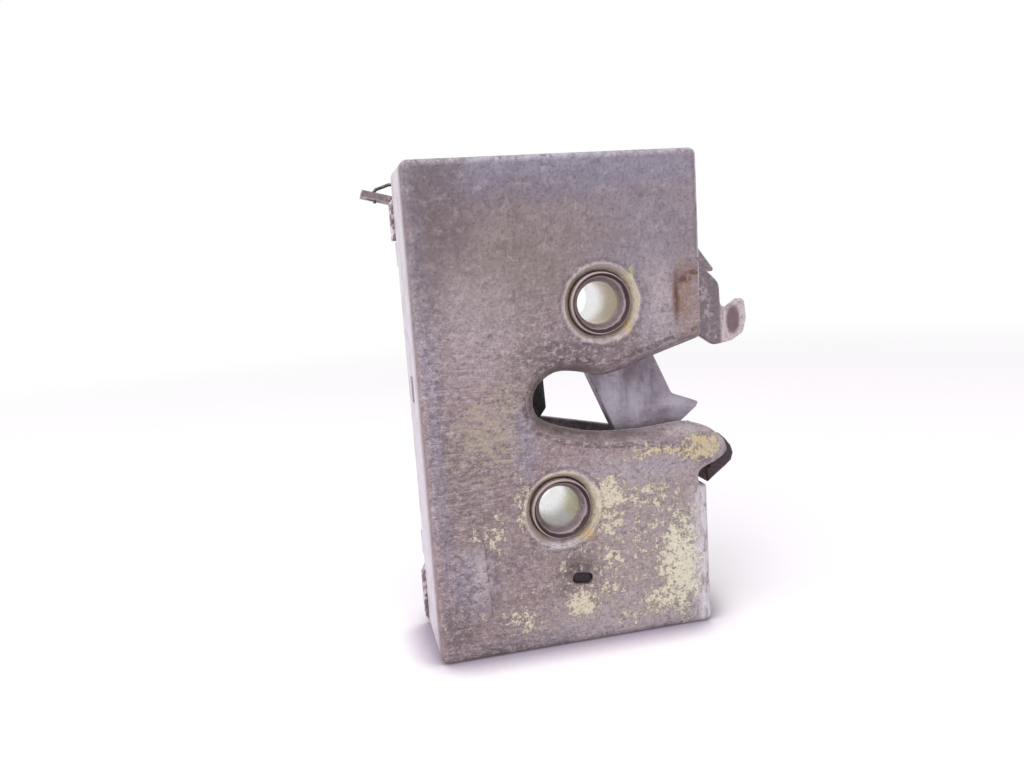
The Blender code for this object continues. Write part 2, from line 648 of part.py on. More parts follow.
def make_claw():
    """Fork: locking arm with its barb, round throat for the striker, and the kick arm."""
    throat_side = -CLAW_HALF_WIDTH - THROAT_HALF_WIDTH
    end_along = math.sqrt(CLAW_REACH ** 2 - CLAW_HALF_WIDTH ** 2)
    tip_along = math.sqrt(CLAW_REACH ** 2 - BARB_SIDE ** 2) - 0.4 * MM
    end_start = math.atan2(-CLAW_HALF_WIDTH, end_along) + CLAW_ARM_ANGLE
    end_stop = math.atan2(BARB_SIDE, tip_along) + CLAW_ARM_ANGLE - math.radians(2)
    hub_start = math.asin(CLAW_HALF_WIDTH / CLAW_HUB) + CLAW_ARM_ANGLE
    hub_end = math.radians(150)
    outer, inner = kick_flank()
    throat = arc(claw_point(THROAT_START, throat_side), THROAT_HALF_WIDTH,
                 CLAW_ARM_ANGLE + 1.5 * math.pi, CLAW_ARM_ANGLE + 0.5 * math.pi)
    tip = claw_point(tip_along, BARB_SIDE)
    root = claw_point(tip_along - 4.5 * MM, CLAW_HALF_WIDTH + 0.3 * MM)
    barb = rounded([(*arc(CLAW_PIVOT, CLAW_REACH, end_stop, end_stop + 0.01)[0], 0), (*tip, 0.4 * MM),
                    (*root, 1.6 * MM), (*claw_point(12 * MM, CLAW_HALF_WIDTH), 0)], closed=False)
    outline = (arc(CLAW_PIVOT, CLAW_REACH, end_start, end_stop)[:-1] + barb
               + arc(CLAW_PIVOT, CLAW_HUB, hub_start, hub_end)
               + arc(CLAW_PIVOT, KICK_ARM_REACH, math.radians(172), math.radians(200))
               + [outer] + throat)
    return flat_piece("claw", [outline, circle(CLAW_PIVOT, JOURNAL_HOLE)], CLAW_FRONT, CLAW_THICKNESS,
                      CLAW_STEEL, edge=0.2 * MM)


def make_pawl():
    """Pawl: hub on the lower bush and an arm up the left of the slot to the nose."""
    outer, inner = kick_flank()
    flank = (inner - outer).normalized()
    below = Vector((flank.y, -flank.x)) * GAP
    nose_high = outer + below - flank * 2.2 * MM
    nose_low = inner + below - flank * 1.6 * MM
    pivot = PAWL_PIVOT
    corners = [(*(nose_high + Vector((-1.6, -1.2)) * MM), 1.2 * MM), (*nose_high, 0.5 * MM),
               (*nose_low, 0.8 * MM), (pivot.x - 5.8 * MM, pivot.y + 21.5 * MM, 3 * MM),
               (pivot.x - 7.2 * MM, pivot.y + 14.5 * MM, 4 * MM),
               (pivot.x + 1.5 * MM, pivot.y + PAWL_HUB + 1.6 * MM, 5 * MM),
               (pivot.x + PAWL_HUB, pivot.y + 7.0 * MM, 6 * MM),
               (pivot.x + PAWL_HUB, pivot.y - PAWL_HUB, 8 * MM),
               (pivot.x - PAWL_HUB + 1 * MM, pivot.y - PAWL_HUB, 8 * MM),
               (pivot.x - 11.5 * MM, pivot.y + 2.0 * MM, 5 * MM),
               (pivot.x - 17.4 * MM, pivot.y + 12.5 * MM, 5 * MM),
               (pivot.x - 16.6 * MM, pivot.y + 24.0 * MM, 6 * MM)]
    pin = pivot + PIN_PLACE
    return flat_piece("pawl", [rounded(corners), circle(pivot, JOURNAL_HOLE), circle(pin, PIN_RADIUS, 20)],
                      CLAW_FRONT, CLAW_THICKNESS, CLAW_STEEL, edge=0.2 * MM)


def make_pawl_pin():
    """Pin riveted in the pawl, long enough to pass the plate's window and the inside lever."""
    shank = PIN_RADIUS - GAP
    back = REAR_BACK + 0.6 * MM
    front = CLAW_FRONT - GAP
    profile = [(0, back), (PIN_RADIUS - 0.4 * MM, back), (PIN_RADIUS, back - 0.4 * MM),
               (PIN_RADIUS, CLAW_BACK + GAP), (shank, CLAW_BACK + GAP), (shank, front),
               (PIN_HEAD_RADIUS, front), (PIN_HEAD_RADIUS, front - 0.6 * MM),
               (PIN_HEAD_RADIUS - 0.5 * MM, front - MM), (0, front - MM)]
    return turned("pawl_pin", profile, PAWL_PIVOT + PIN_PLACE, BRIGHT_ZINC, sides=24)


def make_outside_lever():
    """Lever on the upper bush: tab out of the side window, long arm down beside the slot."""
    pivot = CLAW_PIVOT
    mouth = FACE_WIDTH
    level = SLOT_LEVEL
    right = PUSH_EDGE + PUSH_ARM
    fold = mouth + 10.0 * MM
    corners = [(PUSH_EDGE, level - 18.0 * MM, 1.2 * MM), (PUSH_EDGE, pivot.y + 1.0 * MM, 7 * MM),
               (pivot.x - 8.5 * MM, pivot.y + 11.0 * MM, 8 * MM),
               (pivot.x + 8.5 * MM, pivot.y + 11.0 * MM, 8 * MM),
               (mouth - 7.5 * MM, level + 24.6 * MM, 6 * MM),
               (mouth + 8.4 * MM, level + 23.7 * MM, 4.4 * MM),
               (mouth + 11.6 * MM, level + 20.3 * MM, 3.6 * MM),
               (mouth + 11.8 * MM, level + 15.2 * MM, 0.9 * MM),
               (mouth + 14.6 * MM, level + 14.5 * MM, 1.6 * MM),
               (mouth + 18.8 * MM, level + 16.3 * MM, 0.6 * MM),
               (mouth + 19.9 * MM, level + 15.6 * MM, 0.5 * MM),
               (mouth + 20.4 * MM, level + 11.6 * MM, 2 * MM),
               (mouth + 19.2 * MM, level + 8.4 * MM, 1.0 * MM),
               (mouth + 15.4 * MM, level + 6.9 * MM, 1.0 * MM),
               (mouth + 9.9 * MM, level + 6.5 * MM, 1.2 * MM),
               (mouth + 6.4 * MM, level + 8.9 * MM, 1.0 * MM),
               (pivot.x + 8.0 * MM, pivot.y - 10.2 * MM, 6 * MM),
               (pivot.x - 8.0 * MM, pivot.y - 10.2 * MM, 6 * MM),
               (right, pivot.y - 7.0 * MM, 3 * MM), (right, level - 18.0 * MM, 1.2 * MM)]
    lever = flat_piece("outside_release_lever", [rounded(corners), circle(pivot, JOURNAL_HOLE)],
                       LEVER_FRONT, LEVER_THICKNESS, LEVER_ZINC)
    middle = (LEVER_FRONT + LEVER_BACK) / 2
    fold_back(lever, fold, middle, TAB_BEND)
    return lever


def fold_back(obj, across, depth, angle, steps=3, width=0.9 * MM):
    """Bend all that lies past an upright line towards the rear, in a few small folds."""
    work = bmesh.new()
    work.from_mesh(obj.data)
    work.transform(obj.matrix_world)
    for step in range(steps):
        line = place(across + width * step, 0, depth)
        bmesh.ops.bisect_plane(work, geom=work.verts[:] + work.edges[:] + work.faces[:], dist=0.000001,
                               plane_co=line, plane_no=(1, 0, 0))
    for step in reversed(range(steps)):
        line = place(across + width * step, 0, depth)
        beyond = [vert for vert in work.verts if vert.co.x > line.x + 0.000002]
        bmesh.ops.rotate(work, verts=beyond, cent=line, matrix=Matrix.Rotation(angle / steps, 3, "Z"))
    work.to_mesh(obj.data)
    work.free()
    obj.matrix_world = Matrix.Identity(4)


def make_inside_lever():
    """Bell crank behind the plate: one arm beside the pawl's pin, the other with the rod's hole."""
    pivot = INSIDE_PIVOT
    right = PUSH_EDGE + PUSH_ARM - 0.2 * MM
    top = PAWL_PIVOT.y + PIN_PLACE.y + 3.0 * MM
    rod = ROD_PLACE
    corners = [(pivot.x - 6.2 * MM, pivot.y - 6.2 * MM, 6 * MM),
               (pivot.x - 6.2 * MM, pivot.y + 6.2 * MM, 6 * MM),
               (PUSH_EDGE, pivot.y + 9.5 * MM, 3 * MM), (PUSH_EDGE, top, 1.2 * MM), (right, top, 1.2 * MM),
               (right, pivot.y + 3.2 * MM, 3 * MM), (rod.x - 6 * MM, rod.y + 5.0 * MM, 4 * MM),
               (rod.x + 5.4 * MM, rod.y + 5.4 * MM, 5 * MM), (rod.x + 5.4 * MM, rod.y - 5.4 * MM, 5 * MM),
               (rod.x - 6 * MM, rod.y - 5.4 * MM, 4 * MM), (pivot.x + 4.0 * MM, pivot.y - 6.2 * MM, 5 * MM)]
    return flat_piece("inside_release_lever", [rounded(corners), circle(pivot, PIVOT_SHANK + GAP, 24),
                                               circle(rod, ROD_HOLE, 20)],
                      REAR_FRONT, REAR_LEVER_THICKNESS, LEVER_ZINC)


def rod_clip(name, centre, front, thickness):
    """Moulded clip: a flanged bush snapped into a rod hole."""
    body = ROD_HOLE - GAP
    bore = ROD_HOLE - 1.3 * MM
    back = front + thickness
    flange = ROD_HOLE + 1.6 * MM
    profile = [(flange - 0.3 * MM, back + 1.5 * MM), (flange, back + 1.2 * MM), (flange, back + GAP),
               (body, back + GAP), (body, front - 0.1 * MM), (bore + 0.3 * MM, front - 0.1 * MM),
               (bore, front + 0.2 * MM), (bore, back + 1.2 * MM), (bore + 0.3 * MM, back + 1.5 * MM)]
    return turned(name, profile, centre, CLIP_PLASTIC, sides=24)


def make_lock_lever():
    """Lock lever: hub on its rivet, stud for the slide, and an arm up to the rod tab."""
    pivot = LOCK_PIVOT
    stud = LOCK_STUD
    corners = [(pivot.x - 6.4 * MM, pivot.y - 6.4 * MM, 6.2 * MM),
               (pivot.x - 6.4 * MM, pivot.y + 4.0 * MM, 4 * MM),
               (pivot.x - 7.4 * MM, pivot.y + 7.0 * MM, 1.5 * MM),
               (pivot.x - 7.4 * MM, pivot.y + 10.3 * MM, 0), (pivot.x - 4.4 * MM, pivot.y + 9.5 * MM, 0),
               (pivot.x + 1.0 * MM, pivot.y + 7.6 * MM, 5 * MM),
               (stud.x - 3.0 * MM, stud.y + 3.6 * MM, 3 * MM),
               (stud.x + 3.6 * MM, stud.y + 3.6 * MM, 3.4 * MM),
               (stud.x + 3.6 * MM, stud.y - 3.6 * MM, 3.4 * MM),
               (stud.x - 3.0 * MM, stud.y - 3.6 * MM, 3 * MM),
               (pivot.x + 3.0 * MM, pivot.y - 6.4 * MM, 5 * MM)]
    lever = flat_piece("lock_lever", [rounded(corners), circle(pivot, PIVOT_SHANK + GAP, 24)],
                       REAR_FRONT, REAR_LEVER_THICKNESS, LEVER_ZINC)
    peg_front = REAR_BACK - 0.5 * MM
    peg_back = SLIDE_BACK + 0.6 * MM
    profile = [(0, peg_back), (SLIDE_STUD, peg_back), (SLIDE_STUD, peg_front), (0, peg_front)]
    peg = turned("slide_stud", profile, stud, LEVER_ZINC, sides=20)
    lever = combine(lever, peg, "UNION")
    tab = box_tool("rod_tab", (-ROD_TAB_LENGTH / 2, -ROD_TAB_THICKNESS / 2, REAR_FRONT),
                   (ROD_TAB_LENGTH / 2, ROD_TAB_THICKNESS / 2, REAR_BACK + ROD_TAB_REACH), PARTS)
    tab.location += Vector((pivot.x - 8.9 * MM, 0, pivot.y + 10.8 * MM))
    tab.rotation_euler = (0, ROD_TAB_TILT, 0)
    lever = combine(lever, tab, "UNION")
    bpy.ops.mesh.primitive_cylinder_add(radius=ROD_TAB_HOLE, depth=8 * MM, vertices=20)
    hole = bpy.context.object
    hole.name = "rod_tab_hole"
    hole.location = place(pivot.x - 11.2 * MM, pivot.y + 11.4 * MM, REAR_BACK + ROD_TAB_REACH / 2)
    hole.rotation_euler = (0, ROD_TAB_TILT, 0)
    for owner in list(hole.users_collection):
        owner.objects.unlink(hole)
    CUTTERS.objects.link(hole)
    lever = combine(lever, hole, "DIFFERENCE")
    return lever


def make_lock_slide():
    """Slide hung from the lock lever's stud and guided by a rivet lower down."""
    stud = LOCK_STUD
    guide = GUIDE_PLACE
    half = 4.2 * MM
    bottom = guide.y - 9.2 * MM
    corners = [(stud.x - half, stud.y + half, 2.5 * MM), (stud.x + half, stud.y + half, 2.5 * MM),
               (stud.x + half, stud.y - half, 2 * MM), (guide.x + half, stud.y - 2 * half, 3 * MM),
               (guide.x + half, bottom, 1.5 * MM), (guide.x - half, bottom, 1.5 * MM),
               (guide.x - half, stud.y - 5.5 * MM, 2 * MM), (stud.x - half, stud.y - 2.2 * MM, 1.5 * MM)]
    slot_half = SLIDE_STUD + GAP
    drop = 1.2 * MM
    stud_slot = rounded([(stud.x - slot_half - drop, stud.y - slot_half, slot_half * 0.95),
                         (stud.x + slot_half, stud.y - slot_half, slot_half * 0.95),
                         (stud.x + slot_half, stud.y + slot_half, slot_half * 0.95),
                         (stud.x - slot_half - drop, stud.y + slot_half, slot_half * 0.95)])
    guide_half = GUIDE_SHANK + GAP
    low = guide.y - guide_half
    high = guide.y + guide_half + SLIDE_TRAVEL + 0.4 * MM
    guide_slot = rounded([(guide.x - guide_half, low, guide_half * 0.95),
                          (guide.x + guide_half, low, guide_half * 0.95),
                          (guide.x + guide_half, high, guide_half * 0.95),
                          (guide.x - guide_half, high, guide_half * 0.95)])
    return flat_piece("lock_slide", [rounded(corners), stud_slot, guide_slot], SLIDE_FRONT, SLIDE_THICKNESS,
                      LEVER_ZINC)


def coil_spring(name, pivot, radius, wire, front, turns, start, leads, hook=()):
    """Torsion spring: a leg with its hook, the coils and a second leg, one wire bent about a pivot."""
    pitch = wire + COIL_GAP
    first_leg, last_leg = leads
    depth = front + wire / 2
    steps = int(turns * COIL_STEPS)
    points = []
    for step in range(steps + 1):
        angle = start + 2 * math.pi * step / COIL_STEPS
        flat = pivot + radius * Vector((math.cos(angle), math.sin(angle)))
        points.append(place(flat.x, flat.y, depth + pitch * step / COIL_STEPS))
    end = start + 2 * math.pi * steps / COIL_STEPS
    first = pivot + radius * Vector((math.cos(start), math.sin(start))) + first_leg * Vector(
        (math.sin(start), -math.cos(start)))
    last = pivot + radius * Vector((math.cos(end), math.sin(end))) + last_leg * Vector(
        (-math.sin(end), math.cos(end)))
    points = [*hook, place(first.x, first.y, depth), *points]
    points.append(place(last.x, last.y, depth + pitch * steps / COIL_STEPS))
    curve = bpy.data.curves.new(name, "CURVE")
    curve.dimensions = "3D"
    curve.bevel_depth = wire / 2
    curve.bevel_resolution = 2
    curve.use_fill_caps = True
    spline = curve.splines.new("POLY")
    spline.points.add(len(points) - 1)
    for point, spot in zip(spline.points, points):
        point.co = (*spot, 1)
    made = solid_from(link(name, curve, SPRING_STEEL))
    shade(made.data)
    return made


def make_buffer():
    """Rubber block at the slot's closed end, its stem pressed in the plate."""
    left = PUSH_EDGE + PUSH_ARM + 0.4 * MM
    right = SLOT_END + 4.6 * MM
    low = SLOT_LEVEL - 5.4 * MM
    high = SLOT_LEVEL + 6.8 * MM
    corners = [(left, low, 0.8 * MM), (right - 2.0 * MM, low, 0.8 * MM), (right, low + 2.6 * MM, 0.8 * MM),
               (right - 0.4 * MM, high, 0.8 * MM), (left, high, 0.8 * MM)]
    buffer = flat_piece("slot_buffer", [rounded(corners)], CLAW_BACK + 2 * GAP,
                        PLATE_FRONT - GAP - CLAW_BACK - 2 * GAP, RUBBER, edge=0.4 * MM)
    stem = turned("buffer_stem", [(0, PLATE_BACK + 0.8 * MM), (BUFFER_STEM, PLATE_BACK + 0.8 * MM),
                                  (BUFFER_STEM, PLATE_FRONT - MM), (0, PLATE_FRONT - MM)],
                  BUFFER_STEM_PLACE, RUBBER, sides=20)
    return combine(buffer, stem, "UNION")


def make_stop_post():
    """Post between the sheets: its flattened front end shows in the face's small slot."""
    shoulder = SHEET + GAP
    body = 3.0 * MM
    profile = [(0, PLATE_BACK - 0.2 * MM), (POST_SHANK, PLATE_BACK - 0.2 * MM),
               (POST_SHANK, PLATE_FRONT - GAP), (body, PLATE_FRONT - GAP), (body, shoulder), (0, shoulder)]
    post = turned("stop_post", profile, POST_PLACE, DARK_STEEL, sides=24)
    end = flat_piece("post_end", [post_outline(0)], 0.6 * MM, shoulder + MM - 0.6 * MM, DARK_STEEL, edge=0)
    return combine(post, end, "UNION")


def axis_empty(name, pivot, depth):
    marker = bpy.data.objects.new(name, None)
    marker.location = place(pivot.x, pivot.y, depth)
    marker.empty_display_size = 10 * MM
    PARTS.objects.link(marker)
    return marker


def carry(marker, *pieces):
    """Hang pieces on an empty that stands on their joint's axis."""
    bpy.context.view_layer.update()
    for piece in pieces:
        piece.parent = marker
        piece.matrix_parent_inverse = marker.matrix_world.inverted()


for leftover in list(bpy.data.objects):
    bpy.data.objects.remove(leftover)

PARTS = collection("car_door_latch")
CUTTERS = collection("latch_cutters")

ZINC = finish("weathered_zinc", (0.62, 0.59, 0.62), 0.75, 0.5)
PLATE_STEEL = finish("dark_zinc_plate", (0.42, 0.39, 0.41), 0.7, 0.55)
BRIGHT_ZINC = finish("bright_zinc", (0.78, 0.78, 0.76), 0.95, 0.3)
CLAW_STEEL = finish("claw_steel", (0.60, 0.58, 0.63), 0.85, 0.4)
LEVER_ZINC = finish("lever_zinc", (0.55, 0.52, 0.54), 0.8, 0.45)
SPRING_STEEL = finish("spring_steel", (0.33, 0.32, 0.32), 0.9, 0.4)
DARK_STEEL = finish("dark_steel", (0.2, 0.19, 0.2), 0.8, 0.5)
RUBBER = finish("buffer_rubber", (0.09, 0.085, 0.09), 0.0, 0.75)
CLIP_PLASTIC = finish("clip_plastic", (0.86, 0.84, 0.78), 0.0, 0.5)

make_housing()
make_back_plate()
bush("upper_bush", CLAW_PIVOT)
bush("lower_bush", PAWL_PIVOT)
claw = make_claw()
pawl = make_pawl()
pawl_pin = make_pawl_pin()
outside_lever = make_outside_lever()
inside_lever = make_inside_lever()
inside_clip = rod_clip("inside_rod_clip", ROD_PLACE, REAR_FRONT, REAR_LEVER_THICKNESS)
lock_lever = make_lock_lever()
lock_slide = make_lock_slide()
make_buffer()
make_stop_post()

turned("claw_spacer", ring_profile(JOURNAL_HOLE, JOURNAL_HOLE + 1.2 * MM, SPACER_FRONT, LEVER_FRONT - GAP),
       CLAW_PIVOT, BRIGHT_ZINC)
turned("lever_washer", ring_profile(JOURNAL_HOLE, JOURNAL_HOLE + 2.6 * MM, LEVER_BACK + GAP,
                                    PLATE_FRONT - GAP), CLAW_PIVOT, BRIGHT_ZINC)
turned("pawl_spacer", ring_profile(JOURNAL_HOLE, JOURNAL_HOLE + 1.2 * MM, SPACER_FRONT, PLATE_FRONT - GAP),
       PAWL_PIVOT, BRIGHT_ZINC)
coil_spring("claw_spring", CLAW_PIVOT, COIL_RADIUS, SPRING_WIRE, SPACER_FRONT, COIL_TURNS, math.radians(-20),
            (11 * MM, 10 * MM))
coil_spring("pawl_spring", PAWL_PIVOT, COIL_RADIUS, SPRING_WIRE, SPACER_FRONT, COIL_TURNS, math.radians(-95),
            (9 * MM, 12 * MM))

for name, pivot in (("inside_lever_rivet", INSIDE_PIVOT), ("lock_lever_rivet", LOCK_PIVOT)):
    profile = rivet_profile(PIVOT_SHANK, PIVOT_HEAD, PLATE_FRONT - GAP, REAR_BACK + GAP + SMALL_COIL_ROOM,
                            PIVOT_HEAD_THICKNESS)
    turned(name, profile, pivot, BRIGHT_ZINC, sides=28)
coil_spring("inside_lever_spring", INSIDE_PIVOT, SMALL_COIL_RADIUS, SMALL_SPRING_WIRE, REAR_BACK + GAP, 1.9,
            math.radians(60), (8 * MM, 9 * MM))
tab_hole = (LOCK_PIVOT.x - 11.2 * MM, REAR_BACK + ROD_TAB_REACH / 2)
hook = [place(tab_hole[0], LOCK_PIVOT.y + 10.2 * MM, tab_hole[1]),
        place(tab_hole[0], LOCK_PIVOT.y + 12.6 * MM, tab_hole[1]),
        place(tab_hole[0] + 0.5 * MM, LOCK_PIVOT.y + 13.1 * MM, tab_hole[1]),
        place(tab_hole[0] + 3.2 * MM, LOCK_PIVOT.y + 13.9 * MM, REAR_BACK + 2.4 * MM)]
lock_spring = coil_spring("lock_spring", LOCK_PIVOT, SMALL_COIL_RADIUS, LOCK_SPRING_WIRE, REAR_BACK + GAP,
                          1.9, math.radians(172), (13.4 * MM, 6 * MM), hook)
profile = rivet_profile(GUIDE_SHANK, GUIDE_SHANK + 1.8 * MM, PLATE_FRONT - GAP, SLIDE_BACK + GAP, 0.8 * MM)
turned("slide_guide_rivet", profile, GUIDE_PLACE, BRIGHT_ZINC, sides=24)
turned("slide_spacer", ring_profile(GUIDE_SHANK + GAP, GUIDE_SHANK + 1.6 * MM, REAR_FRONT, REAR_BACK),
       GUIDE_PLACE, BRIGHT_ZINC, sides=20)

carry(axis_empty("claw_axis", CLAW_PIVOT, CLAW_FRONT), claw)
carry(axis_empty("pawl_axis", PAWL_PIVOT, CLAW_FRONT), pawl, pawl_pin)
carry(axis_empty("outside_release_axis", CLAW_PIVOT, LEVER_FRONT), outside_lever)
carry(axis_empty("inside_release_axis", INSIDE_PIVOT, REAR_FRONT), inside_lever, inside_clip)
carry(axis_empty("lock_axis", LOCK_PIVOT, REAR_FRONT), lock_lever, lock_spring)
carry(axis_empty("lock_slide_axis", GUIDE_PLACE, SLIDE_FRONT), lock_slide)
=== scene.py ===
"""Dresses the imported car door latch: worn zinc sheet, turned bushes, steel claw, levers, springs and the stage."""

import math

import bpy
from mathutils import Matrix, Vector


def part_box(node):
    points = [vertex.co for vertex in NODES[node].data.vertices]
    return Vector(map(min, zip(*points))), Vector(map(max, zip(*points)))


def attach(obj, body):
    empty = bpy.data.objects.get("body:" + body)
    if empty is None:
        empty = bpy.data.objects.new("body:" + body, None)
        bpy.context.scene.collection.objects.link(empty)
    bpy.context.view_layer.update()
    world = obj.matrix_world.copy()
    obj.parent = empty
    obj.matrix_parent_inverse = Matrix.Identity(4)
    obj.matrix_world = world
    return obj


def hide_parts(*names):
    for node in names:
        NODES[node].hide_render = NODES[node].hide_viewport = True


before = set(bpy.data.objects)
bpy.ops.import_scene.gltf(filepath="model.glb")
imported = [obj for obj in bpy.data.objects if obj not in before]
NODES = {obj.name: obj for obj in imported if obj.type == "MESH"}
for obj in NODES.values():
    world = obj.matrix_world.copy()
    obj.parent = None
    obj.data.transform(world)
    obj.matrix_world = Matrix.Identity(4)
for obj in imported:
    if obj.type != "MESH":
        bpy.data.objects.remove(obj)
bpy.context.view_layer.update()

bl_info = {
    "name": "Car door latch",
    "version": (1, 0, 0),
    "blender": (4, 5, 0),
    "location": "View3D > Sidebar > Latch",
    "description": "Dresses a slotted car door latch in worn zinc, steel, rubber and nylon",
    "category": "Object",
}

MM = 0.001

# The face's lower left front corner, from which all places on the face are measured
FACE_CORNER = (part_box("housing")[0][0], -0.010, 0.0)


def middle_of(name):
    """Middle of a node as (across, up) in millimetres on the face."""
    low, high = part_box(name)
    return ((low[0] + high[0]) / 2 - FACE_CORNER[0]) / MM, (low[2] + high[2]) / 2 / MM


UPPER = middle_of("upper_bush")
LOWER = middle_of("lower_bush")

# A bush's profile as radius and depth behind the face, in millimetres, from its riveted head round to the bore
BUSH_BACK = (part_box("upper_bush")[1][1] - FACE_CORNER[1]) / MM
BUSH_BORE = 4.25
BUSH_PROFILE = [(BUSH_BORE + 0.5, BUSH_BACK), (6.8, BUSH_BACK), (6.8, BUSH_BACK - 1.2), (5.7, BUSH_BACK - 1.2),
                (5.7, BUSH_BACK - 3.8), (6.4, BUSH_BACK - 3.8), (6.4, 6.0), (7.6, 6.0), (7.6, 3.0), (6.25, 3.0),
                (6.25, 0.55), (6.0, 0.45), (6.0, 0.1), (5.85, 0.0), (5.3, 1.1), (BUSH_BORE, 2.9),
                (BUSH_BORE, BUSH_BACK - 0.5)]
BUSH_SIDES = 96
BUSH_ROUNDING = 0.05 * MM

# Places on the face: across, up, half width, half height, strength
CREAM = ((52.5, 14.0, 5.6, 11.0, 1.0), (48.4, 6.6, 5.4, 2.8, 0.85), (36.6, 31.0, 4.4, 5.0, 0.95),
         (37.2, 24.2, 2.8, 2.6, 0.8), (19.4, 31.0, 1.9, 5.0, 0.75), (30.2, 8.6, 3.6, 3.0, 1.0),
         (36.4, 11.2, 3.4, 1.9, 0.75), (17.2, 6.6, 3.4, 2.4, 0.72), (40.5, 5.0, 3.4, 2.0, 0.65),
         (37.2, 17.6, 3.2, 1.4, 0.85), (26.0, 16.8, 2.4, 1.3, 0.65), (12.8, 26.4, 1.7, 4.6, 0.66),
         (10.0, 26.0, 2.8, 0.9, 0.7), (54.0, 24.8, 4.0, 2.2, 0.7), (46.0, 30.0, 8.0, 3.4, 0.6),
         (48.0, 20.0, 9.0, 10.0, 0.5), (40.0, 17.0, 20.0, 9.0, 0.42), (18.0, 10.0, 8.0, 7.0, 0.3))
TAN = ((12.6, 46.6, 6.4, 8.4, 0.86), (14.0, 38.0, 5.0, 4.0, 0.5), (17.5, 54.0, 4.0, 4.0, 0.6),
       (48.0, 29.0, 12.0, 5.0, 0.6), (30.0, 9.0, 22.0, 7.0, 0.4), (20.0, 26.0, 12.0, 7.0, 0.4))
LIP = ((50.0, 38.9, 10.0, 1.3, 0.85), (58.8, 38.8, 4.4, 2.8, 1.0))
STREAKS = ((10.0, 46.0, 11.0, 18.0, 1.0), (48.0, 28.0, 12.0, 5.0, 0.8), (30.0, 10.0, 24.0, 7.0, 0.4))
# Cleaner bluish plating; the ovals along the top edge, the left fold and the bottom edge are painted shade on the
# folds
CLEAN_AND_FOLD_SHADE = ((28.0, 96.5, 38.0, 4.4, 1.0), (46.0, 84.0, 12.0, 9.0, 0.6), (48.8, 66.0, 4.2, 7.0, 0.7),
         (20.0, 45.0, 2.4, 9.0, 0.9), (42.0, 35.0, 14.0, 3.0, 0.9), (7.4, 16.4, 4.0, 7.2, 0.9),
         (40.0, 2.0, 24.0, 2.4, 1.0), (2.4, 60.0, 1.6, 44.0, 1.0))
BROWN = ((20.0, 78.0, 16.0, 11.0, 0.75), (25.0, 61.5, 8.0, 3.4, 1.0), (30.4, 15.4, 4.4, 3.6, 1.0),
         (4.0, 6.5, 3.6, 2.4, 1.0), (6.6, 36.0, 4.0, 11.0, 0.7), (20.0, 54.0, 4.6, 5.5, 0.7),
         (35.0, 84.0, 9.0, 5.0, 0.6), (5.0, 84.0, 2.0, 14.0, 0.6))
# Painted shade along the folds and edges, on the top band, above the slot, low on the left and along the pad's
# edges; the spot by the stop post is grease
SHADE_AND_GREASE = ((4.0, 84.0, 3.4, 20.0, 0.7), (30.5, 61.2, 10.0, 3.4, 1.0), (18.0, 93.0, 22.0, 4.0, 0.4),
        (6.0, 92.0, 7.0, 12.0, 0.9), (12.0, 40.0, 7.0, 5.0, 0.5), (30.0, 0.6, 34.0, 2.0, 0.9),
        (3.4, 8.0, 3.4, 4.6, 0.7), (42.0, 61.6, 9.0, 2.4, 0.9),
        (12.2, 17.0, 0.8, 8.0, 0.5), (6.5, 27.2, 5.0, 0.5, 0.4), (30.4, 15.4, 3.4, 2.4, 1.0),
        (4.0, 44.0, 1.4, 16.0, 0.5), (14.0, 34.0, 8.0, 6.0, 0.3), (51.0, 28.6, 2.2, 1.2, 0.5))
# Lighter zones, partly rubbed zinc and partly painted light, with the lit band on the right fold below the slot
RUBBED_AND_LIT = ((50.0, 70.0, 2.6, 8.0, 0.8), (57.6, 15.0, 1.6, 13.0, 1.0), (12.0, 68.0, 9.0, 10.0, 0.4),
        (9.2, 18.0, 1.4, 4.6, 1.0), (48.0, 17.0, 15.0, 15.0, 0.7), (46.0, 35.0, 17.0, 6.0, 0.65),
        (44.0, 5.0, 22.0, 6.0, 1.0), (54.0, 18.0, 7.0, 14.0, 0.8), (51.0, 65.0, 5.0, 9.0, 0.6))
RUST = ((55.2, 70.4, 2.2, 6.4, 1.0), (56.4, 75.4, 2.8, 1.4, 1.0), (57.4, 68.0, 2.0, 6.4, 0.6))
RUST_CORE = ((55.2, 74.0, 1.7, 0.8, 1.0), (57.8, 75.2, 1.8, 0.5, 1.0), (53.6, 70.4, 0.6, 4.4, 1.0))
# Cream film on the dish slopes, mostly on their right sides, laid as painted light
DISH_CREAM_AND_LIGHT = ((UPPER[0] + 6.9, UPPER[1] + 1.5, 1.8, 5.6, 0.8), (LOWER[0] + 6.8, LOWER[1] + 2.0, 2.4, 6.4, 0.95),
              (LOWER[0] - 1.0, LOWER[1] + 7.4, 5.0, 1.4, 0.8))
# Tan film on the dish slopes, mostly on their upper left, laid as painted shade
DISH_TAN_AND_SHADE = ((UPPER[0] - 4.6, UPPER[1] + 4.6, 4.4, 4.4, 0.9), (LOWER[0] - 4.6, LOWER[1] + 4.6, 4.4, 4.4, 1.0),
            (LOWER[0] + 6.3, LOWER[1] - 4.2, 1.6, 2.2, 0.9))
